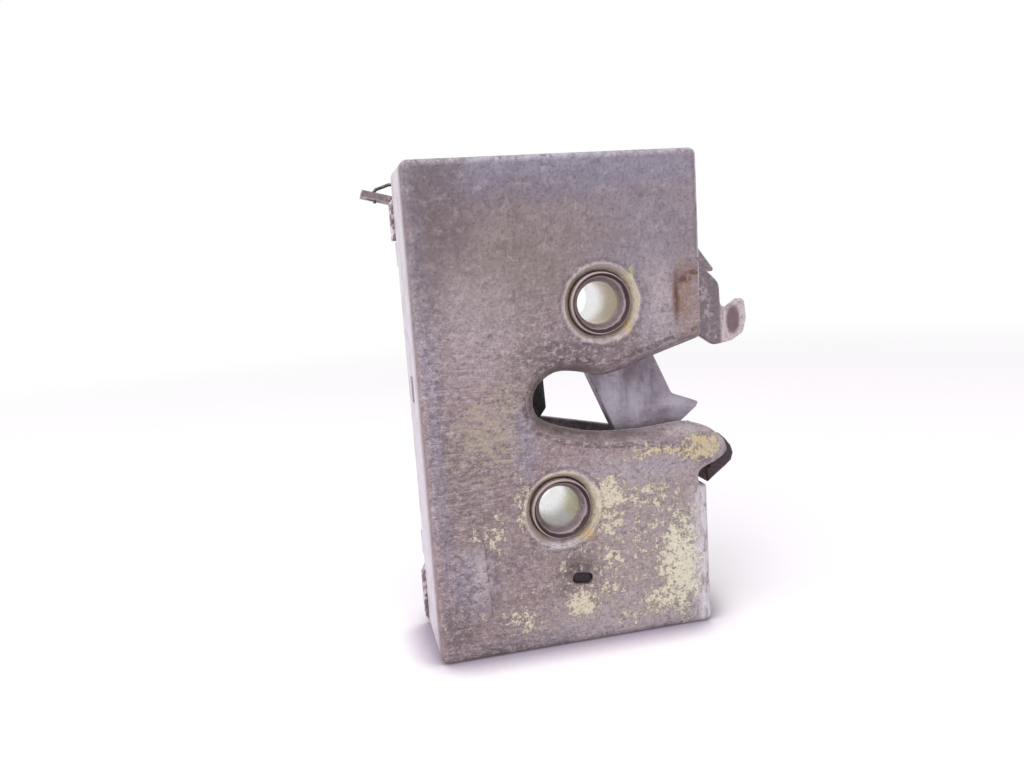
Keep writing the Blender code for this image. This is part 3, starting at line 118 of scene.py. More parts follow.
# Painted highlights at the foot of each dish, and a light patch on the upper dish's rim
DISH_HIGHLIGHTS = ((UPPER[0] - 0.6, UPPER[1] - 7.0, 4.0, 0.45, 1.0), (LOWER[0] - 1.1, LOWER[1] - 7.0, 3.2, 1.1, 1.0),
              (UPPER[0] - 2.5, UPPER[1] + 6.4, 3.0, 1.0, 0.6))
GLINT = ((UPPER[0] + 5.3, UPPER[1] - 4.7, 0.7, 1.5, 1.0), (LOWER[0] + 4.7, LOWER[1] - 6.0, 1.6, 1.0, 1.0))
GLINT_GREEN = ((UPPER[0] + 6.3, UPPER[1] + 5.3, 0.5, 1.4, 1.0),)
SLOT_ZONE = ((44, 50, 27.5, 19, 1.0),)
POST_GREASE = ((29.8, 16.1, 3.4, 2.6, 1.0),)
CLAW_RUBBED = ((41.0, 51.5, 2.2, 6.5, 0.9), (46.5, 49.0, 2.0, 5.0, 0.8), (55.0, 47.6, 3.4, 1.6, 0.9))
CLAW_STAINS = ((44.2, 56.0, 4.6, 3.4, 0.9), (48.8, 53.0, 2.4, 4.6, 0.9), (43.6, 51.0, 0.9, 5.0, 0.55),
               (51.0, 46.0, 4.0, 0.9, 0.8), (37.5, 52.0, 0.9, 5.0, 0.8))
TAB_PATCH = ((74.9, 63.2, 2.1, 3.3, 1.0),)

# Welding and splitting of the CAD meshes, for smooth light on rounds and sharp folds
WELD_GAP = 0.004 * MM
FOLD_ANGLE = math.radians(32)

# Camera: where it stands, what it looks along and which way is up in its picture
CAMERA_PLACE = (-0.0456, -0.1675, 0.0811)
CAMERA_AIM = (0.2104, 0.9656, -0.1527)
CAMERA_UP = (0.1003, 0.1340, 0.9859)

# Lamps: where they stand and the point that both look at
KEY_PLACE = (-0.62, -0.28, 0.42)
TOP_PLACE = (-0.05, -0.35, 0.75)
LAMP_AIM = (0, 0, 0.05)


def linear(code):
    """Linear RGBA of an sRGB hex colour such as "#9c9096"."""
    parts = [int(code[i:i + 2], 16) / 255 for i in (1, 3, 5)]
    return (*[c / 12.92 if c <= 0.04045 else ((c + 0.055) / 1.055) ** 2.4 for c in parts], 1.0)


def paint(name, code, description):
    """A colour that the user may change, its default an sRGB hex colour."""
    return bpy.props.FloatVectorProperty(name=name, description=description, subtype="COLOR", size=4,
                                         min=0.0, max=1.0, default=linear(code))


class LATCH_PG_sheet(bpy.types.PropertyGroup):
    """Colours of the worn zinc sheet"""
    base: paint("Worn zinc", "#8a7d82", "Dull plating, most of the face")
    deep: paint("Deep grey", "#786b6f", "Darker clouds in the plating")
    # Also painted shade on the top, left and bottom folds
    clean: paint("Clean zinc", "#858092", "Bluish plating where the dirt is rubbed off")
    mauve: paint("Mauve zinc", "#8d777a", "Warmer plating of the lower half")
    dirt: paint("Dirt", "#7c6d68", "Brown film of old grease")
    # Painted shade in the darkest zones and round the flakes, grease by the stop post, and dark specks
    dark: paint("Shade and grease", "#64575c", "Darkest zones along the edges")
    # Rubbed zinc, and painted light in the light zones and on the right fold
    pale: paint("Rubbed zinc", "#b1a5a9", "Light zones, rubbed or better lit")
    light: paint("Light grain", "#b9adb0", "Light specks and drawn lines")
    pit: paint("Pits", "#54474b", "Dark specks")
    tan: paint("Tan film", "#a79a88", "Passivation worn thin")
    cream: paint("Cream flake", "#d3c8b2", "Passivation still whole")
    green: paint("Greenish flake", "#d6d4be", "Passivation at the lower right")
    warm: paint("Warm flake", "#c4b08c", "Passivation on the lip")
    band: paint("Slot band", "#786a6d", "The sheet turned in round the slot")
    # Dark line along the slot's crease, grease round the stop post, and painted shade in the ring where the sheet
    # meets each bush
    band_end: paint("Closed end", "#6a5b58", "The band at the slot's closed end")
    crease: paint("Crease", "#55484a", "Dirt along the crease and in the rings")
    # Lighter than the sheet, partly painted light where the slopes face the lamps
    slope: paint("Dish slope", "#bdb0a6", "Sloping sheet of the dishes round the bushes")
    rust: paint("Rust", "#8f6850", "Stain beside the window")
    rust_core: paint("Rust core", "#5e3d2a", "Darkest rust lines")
    # Rubbed edges and rims, painted highlights on the dishes and the right fold, and painted light on the left wall
    bare_and_highlight: paint("Bare edge", "#cfc9d2", "Rubbed edge lines")
    gold: paint("Gold film", "#cfb070", "Glints of yellow passivation in the dishes")
    moss: paint("Green film", "#b9c07c", "Glint of green passivation on the upper dish")


class LATCH_PG_steel(bpy.types.PropertyGroup):
    """Colours of the bushes, the claw, the levers and the plate"""
    end_face: paint("Bush end", "#857578", "Turned end face of a bush")
    bore: paint("Bore", "#e6dcc8", "Lit wall of a bore")
    bore_olive: paint("Bore shade", "#ad9f84", "Olive side of a bore")
    bore_grey: paint("Lower bore", "#b4b1ae", "Greyer wall of the lower bore")
    bore_moss: paint("Lower bore shade", "#b3ab72", "Green side of the lower bore")
    bore_rear: paint("Bore's rear", "#ffffff", "Rear of a bore, in full light")
    end_grain: paint("Bush end, specks", "#a39599", "Light specks on the end face")
    end_inner: paint("Bush end, inner", "#b5a9aa", "Lighter ring next to the bore")
    end_line: paint("Bush end, line", "#b8acae", "Turned line in the end face")
    # The rim lies just outside the black ring of painted shade
    end_rim: paint("Bush rim", "#aa9b98", "Thin rim outside the grease")
    # Dirt specks, and painted shade in the black ring at the edge of each bush end
    grime_and_shade: paint("Grime", "#38232a", "Old grease in the ring round a bush")
    claw: paint("Claw", "#8a808b", "Hardened steel of the claw")
    claw_rubbed: paint("Claw, rubbed", "#a9a2af", "Steel rubbed by the striker")
    claw_stain: paint("Claw stain", "#574e58", "Dark stains on the claw")
    lever: paint("Lever", "#7e7177", "Aged plating of the levers")
    # Rubbed specks, and painted light over the whole bent tab
    lever_rubbed_and_lit: paint("Lever, rubbed", "#d4c5c7", "Rubbed rim of the lever's tab")
    lever_worn: paint("Worn patch", "#745c63", "Patch in the middle of the tab")
    plate: paint("Plate", "#756a70", "Plating of the back plate")
    nose: paint("Nose", "#3b2e36", "Drawn nose behind the lip")
    plate_rust: paint("Plate rust", "#6b4c3f", "Rust inside the notch")
    plate_cloud: paint("Plate, clouds", "#95898f", "Lighter clouds in the plate's plating")
    plate_film: paint("Plate, film", "#a39a86", "Passivation left on the plate's rear")
    turned: paint("Turned zinc", "#a39c9e", "Rivets, sleeves and washer")
    turned_film: paint("Turned zinc, film", "#b7b195", "Passivation left on them")


class LATCH_PG_small(bpy.types.PropertyGroup):
    """Colours of the springs, the stop post, the buffer and the clip"""
    wire: paint("Spring wire", "#4a4542", "Phosphated wire")
    wire_dust: paint("Wire dust", "#766a60", "Brown dust along the wire")
    post: paint("Post", "#1f1a1d", "Blackened steel under grease")
    post_worn: paint("Post, worn", "#463c41", "Rubbed specks of the post")
    rubber: paint("Rubber", "#221c20", "Moulded buffer")
    rubber_bloom: paint("Rubber bloom", "#3d353a", "Greyish bloom in clouds")
    rubber_dirt: paint("Rubber dirt", "#15100f", "Dark specks in the rubber")
    nylon: paint("Nylon", "#d5cebb", "Natural moulded clip")
    nylon_aged: paint("Nylon, aged", "#bfb395", "Yellowed clouds")
    nylon_dirt: paint("Nylon dirt", "#8f826c", "Dirt in the corners")


class LATCH_PG_stage(bpy.types.PropertyGroup):
    """Sizes and strengths of the stage"""
    floor_size: bpy.props.FloatProperty(name="Floor", description="Length of the floor's sides", default=8.0,
                                        min=1.0, unit="LENGTH")
    floor: paint("Floor paint", "#efeaef", "Shown just white where no shadow falls")
    contact: paint("Contact shade", "#85768a", "Floor close under the latch")
    bounce: paint("Floor, unseen", "#f6f2f6", "What the floor throws back on the latch")
    bounce_dark: paint("Floor, unseen specks", "#d8d0d8", "Darker specks in that")
    fade_start: bpy.props.FloatProperty(name="Fade start", description="Where the floor starts to turn white",
                                        default=0.22, min=0.0, unit="LENGTH")
    fade_end: bpy.props.FloatProperty(name="Fade end", description="Where the floor is all white", default=0.7,
                                      min=0.0, unit="LENGTH")
    key: bpy.props.FloatProperty(name="Key lamp", description="Power of the lamp on the left", default=4.4,
                                 min=0.0, unit="POWER")
    top: bpy.props.FloatProperty(name="Top lamp", description="Power of the lamp above", default=3.0, min=0.0,
                                 unit="POWER")
    room: bpy.props.FloatProperty(name="Room", description="Strength of the room's even light", default=0.72,
                                  min=0.0)
    lens: bpy.props.FloatProperty(name="Lens", description="Focal length of the camera", default=29.18, min=1.0,
                                  unit="CAMERA")


def add(tree, kind, inputs=None, **settings):
    """Adds a node, sets its settings, and fills or links its inputs by name or number; hex text is a colour."""
    node = tree.nodes.new(kind)
    for name, value in settings.items():
        setattr(node, name, value)
    for key, value in (inputs or {}).items():
        if isinstance(value, bpy.types.NodeSocket):
            tree.links.new(value, node.inputs[key])
        else:
            node.inputs[key].default_value = linear(value) if isinstance(value, str) else value
    return node


def new_finish(name):
    """An empty finish: its material, its tree, its shader and a vector of face millimetres."""
    made = bpy.data.materials.new(name)
    made.use_nodes = True
    tree = made.node_tree
    tree.nodes.clear()
    shader = add(tree, "ShaderNodeBsdfPrincipled")
    add(tree, "ShaderNodeOutputMaterial", {"Surface": shader.outputs["BSDF"]})
    place = add(tree, "ShaderNodeTexCoord")
    corner = tuple(-part / MM for part in FACE_CORNER)
    face = add(tree, "ShaderNodeMapping", {"Vector": place.outputs["Object"], "Location": corner,
                                           "Scale": (1 / MM, 1 / MM, 1 / MM)})
    return made, tree, shader, face.outputs["Vector"]


def specks(tree, where, size, low, high, most=1.0, stretch=(1, 1, 1), detail=4.0, rough=0.6):
    """Share of a speckle with grains of a size in the units of where: none below low, most above high."""
    spread = add(tree, "ShaderNodeVectorMath", {0: where, 1: tuple(s / size for s in stretch)},
                 operation="MULTIPLY")
    grain = add(tree, "ShaderNodeTexNoise", {"Vector": spread.outputs[0], "Scale": 1.0, "Detail": detail,
                                             "Roughness": rough})
    return add(tree, "ShaderNodeMapRange", {"Value": grain.outputs["Fac"], "From Min": low, "From Max": high,
                                            "To Max": most}, interpolation_type="SMOOTHSTEP").outputs[0]


def share(tree, *factors):
    """Product of factors, each a number, a socket or a ramp. A ramp is (value, low, high, most): it grows smoothly
    from none at low to most at high, where low may be the larger, and most is 1 if it is left out."""
    product = None
    for factor in factors:
        if isinstance(factor, tuple):
            value, low, high, most = (*factor, 1.0)[:4]
            turned = low > high
            limits = {"Value": value, "From Min": min(low, high), "From Max": max(low, high),
                      "To Min": most if turned else 0.0, "To Max": 0.0 if turned else most}
            factor = add(tree, "ShaderNodeMapRange", limits, interpolation_type="SMOOTHSTEP").outputs[0]
        if product is None:
            product = factor
        else:
            product = add(tree, "ShaderNodeMath", {0: product, 1: factor}, operation="MULTIPLY").outputs[0]
    return product


def ovals(tree, where, places, soft=0.6):
    """The strongest of several soft ovals on the face, whatever their depth."""
    strongest = None
    for across, up, half_width, half_height, strength in places:
        moved = add(tree, "ShaderNodeVectorMath", {0: where, 1: (across, 0, up)}, operation="SUBTRACT")
        scaled = add(tree, "ShaderNodeVectorMath", {0: moved.outputs[0], 1: (1 / half_width, 0, 1 / half_height)},
                     operation="MULTIPLY")
        far = add(tree, "ShaderNodeVectorMath", {0: scaled.outputs[0]}, operation="LENGTH").outputs["Value"]
        one = share(tree, (far, 1 + soft, 1 - soft, strength))
        if strongest is None:
            strongest = one
        else:
            strongest = add(tree, "ShaderNodeMath", {0: strongest, 1: one}, operation="MAXIMUM").outputs[0]
    return strongest


def layered(tree, ground, *layers):
    """Colours laid over a ground in turn, each by the product of its shares."""
    for colour, *shares in layers:
        ground = add(tree, "ShaderNodeMix", {0: share(tree, *shares), 6: ground, 7: colour},
                     data_type="RGBA").outputs[2]
    return ground


def relief(tree, shader, *heights):
    """Bump from heights in millimetres, each a share and the height of its top."""
    total = 0.0
    for share, top in heights:
        total = add(tree, "ShaderNodeMath", {0: share, 1: top, 2: total}, operation="MULTIPLY_ADD").outputs[0]
    bump = add(tree, "ShaderNodeBump", {"Height": total, "Strength": 1.0, "Distance": MM})
    tree.links.new(bump.outputs["Normal"], shader.inputs["Normal"])


def coat(tree, shader, colour, grain, rough, metal):
    """Gives the shader its colour, a roughness that runs between two values with the grain, and its metal part."""
    tree.links.new(colour, shader.inputs["Base Color"])
    spread = add(tree, "ShaderNodeMapRange", {"Value": grain, "To Min": rough[0], "To Max": rough[1]})
    tree.links.new(spread.outputs[0], shader.inputs["Roughness"])
    shader.inputs["Metallic"].default_value = metal


def shown_rays(tree):
    """Share of the rays that show a thing as it is: those from the camera, off mirrors and through clear things."""
    path = add(tree, "ShaderNodeLightPath")
    seen = add(tree, "ShaderNodeMath", {0: path.outputs["Is Camera Ray"], 1: path.outputs["Is Glossy Ray"]},
               operation="MAXIMUM")
    return add(tree, "ShaderNodeMath", {0: seen.outputs[0], 1: path.outputs["Is Transmission Ray"]},
               operation="MAXIMUM").outputs[0]


def from_pivots(tree, face):
    """Distance in millimetres from the nearer bush's axis."""
    nearest = None
    for across, up in (UPPER, LOWER):
        moved = add(tree, "ShaderNodeVectorMath", {0: face, 1: (across, 0, up)}, operation="SUBTRACT")
        flat = add(tree, "ShaderNodeVectorMath", {0: moved.outputs[0], 1: (1, 0, 1)}, operation="MULTIPLY")
        far = add(tree, "ShaderNodeVectorMath", {0: flat.outputs[0]}, operation="LENGTH").outputs["Value"]
        if nearest is None:
            nearest = far
        else:
            nearest = add(tree, "ShaderNodeMath", {0: nearest, 1: far}, operation="MINIMUM").outputs[0]
    return nearest


def finish_worn_zinc(colours):
    """Zinc-plated steel sheet, pressed, its yellow passivation mostly worn off: dull mauve grey and gritty,
    bluish where it is cleaner and brown where grease dried, with cream flakes left in torn patches. Painted shade
    and painted light lie along its folds and edges, round the flakes, on the dishes and on the left wall."""
    made, tree, shader, face = new_finish("worn_zinc_sheet")
    across, depth, up = add(tree, "ShaderNodeSeparateXYZ", {0: face}).outputs
    wander = add(tree, "ShaderNodeTexNoise", {"Vector": face, "Scale": 0.30, "Detail": 5.0, "Roughness": 0.7})
    ragged = add(tree, "ShaderNodeVectorMath", {0: wander.outputs["Color"], 1: (9, 9, 9), 2: face},
                 operation="MULTIPLY_ADD").outputs[0]
    ragged = add(tree, "ShaderNodeVectorMath", {0: ragged, 1: (4.5, 4.5, 4.5)}, operation="SUBTRACT").outputs[0]
    front = share(tree, (depth, 7.0, 5.5))

    # Broad zones, with painted shade along the folds and edges and painted light in the light zones
    ground = layered(
        tree, colours.base,
        (colours.mauve, share(tree, (up, 76.0, 52.0), front, 0.75)),
        (colours.deep, specks(tree, face, 8.0, 0.50, 0.60, 0.55)),
        (colours.clean, ovals(tree, ragged, CLEAN_AND_FOLD_SHADE), share(tree, front, 0.75)),
        (colours.dirt, ovals(tree, ragged, BROWN), share(tree, front, 0.75)),
        (colours.dark, ovals(tree, ragged, SHADE_AND_GREASE), share(tree, front, 0.8)),
        (colours.pale, ovals(tree, ragged, RUBBED_AND_LIT), share(tree, front, 0.75)))

    # The band turned in round the slot: brown, streaked along its run, dark in the crease
    near = ovals(tree, face, SLOT_ZONE, 0.04)
    sunk = share(tree, (depth, 0.10, 1.2), near)
    ground = layered(
        tree, ground,
        (colours.band, sunk, 0.85),
        (colours.band_end, sunk, share(tree, (across, 46.0, 26.0), 0.9)),
        (colours.pale, sunk, share(tree, (across, 44.0, 56.0), (up, 46.0, 42.0), 0.9)),
        (colours.pale, sunk, specks(tree, face, 2.0, 0.52, 0.66, 0.45, (0.25, 1, 1), 5.0, 0.7)),
        (colours.crease, sunk, specks(tree, face, 1.8, 0.52, 0.66, 0.5, (0.3, 1, 1), 5.0, 0.7)),
        (colours.crease, near, share(tree, (depth, 0.0, 0.05), (depth, 0.42, 0.14)),
         specks(tree, face, 2.4, 0.36, 0.50, 0.75)),
        (colours.light, near, share(tree, (depth, 3.2, 3.5), (depth, 5.0, 4.6)), 0.7))

    # Grit and drawn lines
    grit = specks(tree, face, 0.75, 0.50, 0.62, 1.0, (1, 1, 1), 5.0, 0.75)
    streaky = add(tree, "ShaderNodeMath", {0: ovals(tree, ragged, STREAKS, 0.7), 1: 0.08}, operation="MAXIMUM")
    drawn = share(tree, specks(tree, face, 0.6, 0.50, 0.64, 1.0, (0.09, 1, 1), 4.0, 0.75), streaky.outputs[0])
    gritty = share(tree, (up, 84.0, 62.0), (depth, 0.7, 0.1))
    ground = layered(
        tree, ground,
        (colours.pale, gritty, specks(tree, face, 1.0, 0.50, 0.60, 0.66, (0.6, 1, 1), 5.0, 0.8)),
        (colours.pit, gritty, specks(tree, face, 0.85, 0.53, 0.63, 0.66, (0.6, 1, 1), 5.0, 0.8)),
        (colours.pale, specks(tree, face, 2.6, 0.50, 0.66, 0.36, (1, 1, 1), 6.0, 0.75)),
        (colours.dark, specks(tree, face, 2.1, 0.52, 0.66, 0.6, (0.8, 1, 1), 6.0, 0.75)),
        (colours.pit, grit, 0.36),
        (colours.light, gritty, specks(tree, face, 0.62, 0.54, 0.66, 0.55, (0.8, 1, 1), 4.0, 0.7)),
        (colours.light, drawn, 0.42),
        (colours.pit, specks(tree, face, 0.52, 0.54, 0.66, 0.6, (0.09, 1, 1), 4.0, 0.75), streaky.outputs[0]))

    # Passivation: a tan film first and cream flakes on it, torn at their edges and pitted
    torn = add(tree, "ShaderNodeTexNoise", {"Vector": face, "Scale": 0.62, "Detail": 7.0, "Roughness": 0.8})
    lace = add(tree, "ShaderNodeTexNoise", {"Vector": face, "Scale": 2.1, "Detail": 4.0, "Roughness": 0.75})
    laced = add(tree, "ShaderNodeMath", {0: lace.outputs["Fac"], 1: 0.4, 2: torn.outputs["Fac"]},
                operation="MULTIPLY_ADD").outputs[0]
    streak = add(tree, "ShaderNodeMath", {0: drawn, 1: 0.06, 2: laced}, operation="MULTIPLY_ADD").outputs[0]
    cream_here = ovals(tree, ragged, CREAM, 0.75)
    tan_here = ovals(tree, ragged, TAN, 0.7)
    lip_here = ovals(tree, ragged, LIP, 0.7)
    most = add(tree, "ShaderNodeMath", {0: cream_here, 1: lip_here}, operation="MAXIMUM").outputs[0]
    rise = add(tree, "ShaderNodeMath", {0: most, 1: 0.23, 2: streak}, operation="MULTIPLY_ADD").outputs[0]
    rise_tan = add(tree, "ShaderNodeMath", {0: tan_here, 1: 0.17, 2: streak}, operation="MULTIPLY_ADD").outputs[0]
    rise_tan = add(tree, "ShaderNodeMath", {0: rise, 1: rise_tan}, operation="MAXIMUM").outputs[0]
    some = add(tree, "ShaderNodeMath", {0: most, 1: tan_here}, operation="MAXIMUM").outputs[0]
    film = share(tree, (rise_tan, 0.79, 0.87), (some, 0.02, 0.25), front)
    flake = share(tree, (rise, 0.815, 0.885), (most, 0.02, 0.2), front)
    # Painted shadow in a thin band just outside each flake's edge
    flake_edge_shadow = share(tree, (rise, 0.76, 0.81), (rise, 0.87, 0.82), most, front)
    cream = layered(
        tree, colours.cream,
        (colours.green, (across, 42.0, 54.0, 0.8), (up, 30.0, 22.0)),
        (colours.warm, lip_here))
    ground = layered(
        tree, ground,
        (colours.tan, film, 0.68),
        (colours.dark, flake_edge_shadow, 0.45),
        (cream, flake, 0.82),
        (colours.light, flake, specks(tree, face, 1.2, 0.50, 0.62, 0.4, (0.6, 1, 1), 5.0, 0.75)),
        (colours.pit, film, specks(tree, face, 0.62, 0.56, 0.66, 0.8, (0.8, 1, 1), 4.0, 0.7)))

    # Dishes round the bushes: light slopes, partly painted light, torn rims, glints of gold film,
    # painted highlights, and a black ring of painted shade where the sheet meets the bush
    radius = from_pivots(tree, face)
    torn_radius = add(tree, "ShaderNodeMath", {0: torn.outputs["Fac"], 1: 1.8, 2: radius},
                      operation="MULTIPLY_ADD").outputs[0]
    slope = share(tree, (torn_radius, 9.1, 8.6), (radius, 6.5, 6.8))
    broken = specks(tree, face, 0.9, 0.42, 0.54, 1.0, (1, 1, 1), 4.0, 0.7)
    ground = layered(
        tree, ground,
        (colours.pit, (torn_radius, 10.2, 9.7), (torn_radius, 9.1, 9.5), broken, 0.5),
        (colours.slope, slope, 0.85),
        (colours.bare_and_highlight, (torn_radius, 9.3, 9.0), (torn_radius, 8.6, 8.9), broken, 0.3),
        (colours.tan, slope, ovals(tree, face, DISH_TAN_AND_SHADE, 0.8), 0.8),
        (colours.cream, slope, ovals(tree, face, DISH_CREAM_AND_LIGHT, 0.8), 0.9),
        (colours.bare_and_highlight, ovals(tree, face, DISH_HIGHLIGHTS, 0.7), broken, 0.9),
        (colours.gold, ovals(tree, face, GLINT, 0.8), broken, 0.8),
        (colours.moss, ovals(tree, face, GLINT_GREEN, 0.8), broken, 0.8),
        # Painted shade: the dark ring where the sheet meets the bush
        (colours.crease, (radius, 6.65, 6.4), 0.8))

    # Rust beside the window
    rusty = ovals(tree, face, RUST, 0.9)
    ground = layered(
        tree, ground,
        (colours.rust, rusty, specks(tree, face, 2.4, 0.34, 0.60, 0.62, (1.6, 1, 0.6), 6.0, 0.75)),
        (colours.rust_core, ovals(tree, face, RUST_CORE, 0.9), specks(tree, face, 0.9, 0.34, 0.50, 0.9)))

    # Grease round the stop post
    halo = ovals(tree, face, POST_GREASE, 0.95)
    ground = layered(tree, ground, (colours.crease, halo, specks(tree, face, 1.4, 0.30, 0.56, 0.85)))

    # Rubbed line along the top, painted highlight on the right fold, not on the lip or deep on the side wall, and
    # painted light on the left wall
    beside_lip = add(tree, "ShaderNodeMath", {0: share(tree, (up, 33.0, 31.5)), 1: share(tree, (up, 61.0, 63.0))},
                     operation="MAXIMUM").outputs[0]
    at_edge = share(tree, (across, 59.6, 59.4), (depth, 4.0, 0.8))
    rubbed = specks(tree, face, 1.8, 0.36, 0.56, 1.0, (1.5, 1, 0.5), 5.0, 0.7)
    top = share(tree, (up, 98.4, 99.9), rubbed, 0.45)
    # Painted highlight along the right fold, beside the lip and wider below the slot
    right = share(tree, (across, 58.2, 59.0), rubbed, beside_lip, at_edge, 0.7)
    low_right = share(tree, (across, 54.0, 58.0), (up, 33.0, 28.0), rubbed, at_edge, 0.95)
    # The left wall painted near white as painted light, with pale specks and specks of dirt
    wall = share(tree, (across, 0.7, 0.05), (depth, 0.4, 7.0), 0.9)
    ground = layered(tree, ground, (colours.bare_and_highlight, top), (colours.bare_and_highlight, right), (colours.bare_and_highlight, low_right),
                     (colours.bare_and_highlight, wall),
                     (colours.pale, wall, specks(tree, face, 5.0, 0.46, 0.62, 0.7, (1, 1, 1), 6.0, 0.75)),
                     (colours.dirt, wall, specks(tree, face, 1.2, 0.56, 0.68, 0.5, (1, 1, 1), 5.0, 0.8)))
    tree.links.new(ground, shader.inputs["Base Color"])

    rough = add(tree, "ShaderNodeMapRange", {"Value": specks(tree, face, 2.0, 0.40, 0.60), "To Min": 0.46,
                                             "To Max": 0.62})
    rough = add(tree, "ShaderNodeMath", {0: flake, 1: 0.12, 2: rough.outputs[0]}, operation="MULTIPLY_ADD")
    tree.links.new(rough.outputs[0], shader.inputs["Roughness"])
    metal = add(tree, "ShaderNodeMath", {0: flake, 1: -0.35, 2: 0.45}, operation="MULTIPLY_ADD")
    tree.links.new(metal.outputs[0], shader.inputs["Metallic"])

    # The pressed step beside the rust, then the grit
    step = share(tree, (across, 52.0, 56.0), (up, 78.0, 74.5), (up, 60.5, 66.5))
    relief(tree, shader, (specks(tree, face, 2.6, 0.2, 0.8, 1.0, (1, 1, 1), 6.0, 0.7), 0.25), (grit, -0.035),
           (film, 0.012), (flake, 0.05), (drawn, 0.02), (step, -0.7))
    return made


def finish_bush(colours):
    """Turned steel with zinc and grease: mauve countersink with a black rim of painted shade, and a bright warm bore
    in painted light and shade.
    """
    made, tree, shader, face = new_finish("turned_bush_zinc")
    across, depth, up = add(tree, "ShaderNodeSeparateXYZ", {0: face}).outputs
    radius = from_pivots(tree, face)
    wander = specks(tree, face, 2.4, 0.2, 0.8, 0.36)
    edge = add(tree, "ShaderNodeMath", {0: radius, 1: wander}, operation="ADD").outputs[0]
    bore = share(tree, (radius, BUSH_BORE + 0.12, BUSH_BORE + 0.04))
    grain = specks(tree, face, 0.5, 0.48, 0.62, 1.0, (1, 1, 1), 5.0, 0.7)
    low = share(tree, (up, 52.0, 48.0))
    # Bore painted in light and shade: olive on the right, lit on the left, greyer in the lower bush, white deep
    # inside, with specks of dirt
    lit = layered(
        tree, colours.bore_olive,
        (colours.bore, (across, UPPER[0] + 3.6, UPPER[0] - 1.0)),
        (colours.bore_grey, low, 0.9),
        (colours.bore_moss, (across, LOWER[0] + 2.6, LOWER[0] + 3.9), low, 0.7),
        (colours.bore_rear, (depth, 8.0, 17.0), 0.95),
        (colours.grime_and_shade, specks(tree, face, 1.4, 0.66, 0.76, 0.4)))
    # End face: specks, a lighter inner ring, a turned line, a black ring of painted shade at its edge and a thin rim
    face_end = layered(
        tree, colours.end_face,
        (colours.end_grain, specks(tree, face, 1.2, 0.50, 0.62, 0.7, (1, 1, 1), 5.0, 0.75)),
        (colours.grime_and_shade, grain, 0.4),
        (colours.end_inner, (edge, 4.75, 4.5), 0.6),
        (colours.end_line, (radius, 5.45, 5.3), (radius, 5.05, 5.2), 0.55),
        (colours.grime_and_shade, (edge, 5.5, 5.65), 0.96),
        (colours.end_rim, (radius, 5.92, 5.98)))
    tree.links.new(layered(tree, face_end, (lit, bore)), shader.inputs["Base Color"])
    rough = add(tree, "ShaderNodeMapRange", {"Value": bore, "To Min": 0.55, "To Max": 0.22})
    tree.links.new(rough.outputs[0], shader.inputs["Roughness"])
    metal = add(tree, "ShaderNodeMapRange", {"Value": bore, "To Min": 0.40, "To Max": 0.80})
    tree.links.new(metal.outputs[0], shader.inputs["Metallic"])
    relief(tree, shader, (grain, -0.02), (specks(tree, face, 0.5, 0.4, 0.6, 1.0, (0.05, 1, 0.05)), 0.012))
    return made


def finish_claw_steel(colours):
    """Hardened steel fork, rubbed smooth by the striker: lilac grey, with dark stained bands across its arm."""
    made, tree, shader, face = new_finish("hardened_claw_steel")
    grain = specks(tree, face, 0.6, 0.48, 0.62, 1.0, (1, 1, 1), 5.0, 0.72)
    ground = layered(
        tree, colours.claw,
        (colours.claw_rubbed, ovals(tree, face, CLAW_RUBBED, 0.9), 0.9),
        (colours.claw_stain, ovals(tree, face, CLAW_STAINS, 0.9), specks(tree, face, 4.0, 0.34, 0.54, 0.8)),
        (colours.claw_rubbed, specks(tree, face, 2.6, 0.50, 0.68, 0.4, (1, 1, 0.4))),
        (colours.claw_stain, grain, 0.16))
    coat(tree, shader, ground, grain, (0.40, 0.55), 0.5)
    relief(tree, shader, (grain, -0.02), (specks(tree, face, 4.0, 0.3, 0.7), 0.12))
    return made


def finish_lever(colours):
    """Blanked and bent lever, zinc plated and aged: mottled mauve, its bent tab lighter as painted light, round a
    dark worn patch.
    """
    made, tree, shader, face = new_finish("aged_lever_zinc")
    across = add(tree, "ShaderNodeSeparateXYZ", {0: face}).outputs["X"]
    grain = specks(tree, face, 0.7, 0.48, 0.62, 1.0, (1, 1, 1), 5.0, 0.75)
    # Painted light: the whole bent tab lighter than the lever
    tab = share(tree, (across, 70.6, 71.8))
    ground = layered(
        tree, colours.lever,
        (colours.lever_rubbed_and_lit, specks(tree, face, 3.0, 0.50, 0.66, 0.5, (1, 1, 1), 5.0, 0.7)),
        (colours.lever_rubbed_and_lit, tab, 0.8),
        (colours.lever_worn, tab, ovals(tree, face, TAB_PATCH, 0.25), 0.95),
        (colours.claw_stain, grain, 0.5))
    coat(tree, shader, ground, grain, (0.42, 0.58), 0.5)
    relief(tree, shader, (grain, -0.025), (specks(tree, face, 4.0, 0.3, 0.7), 0.15))
    return made


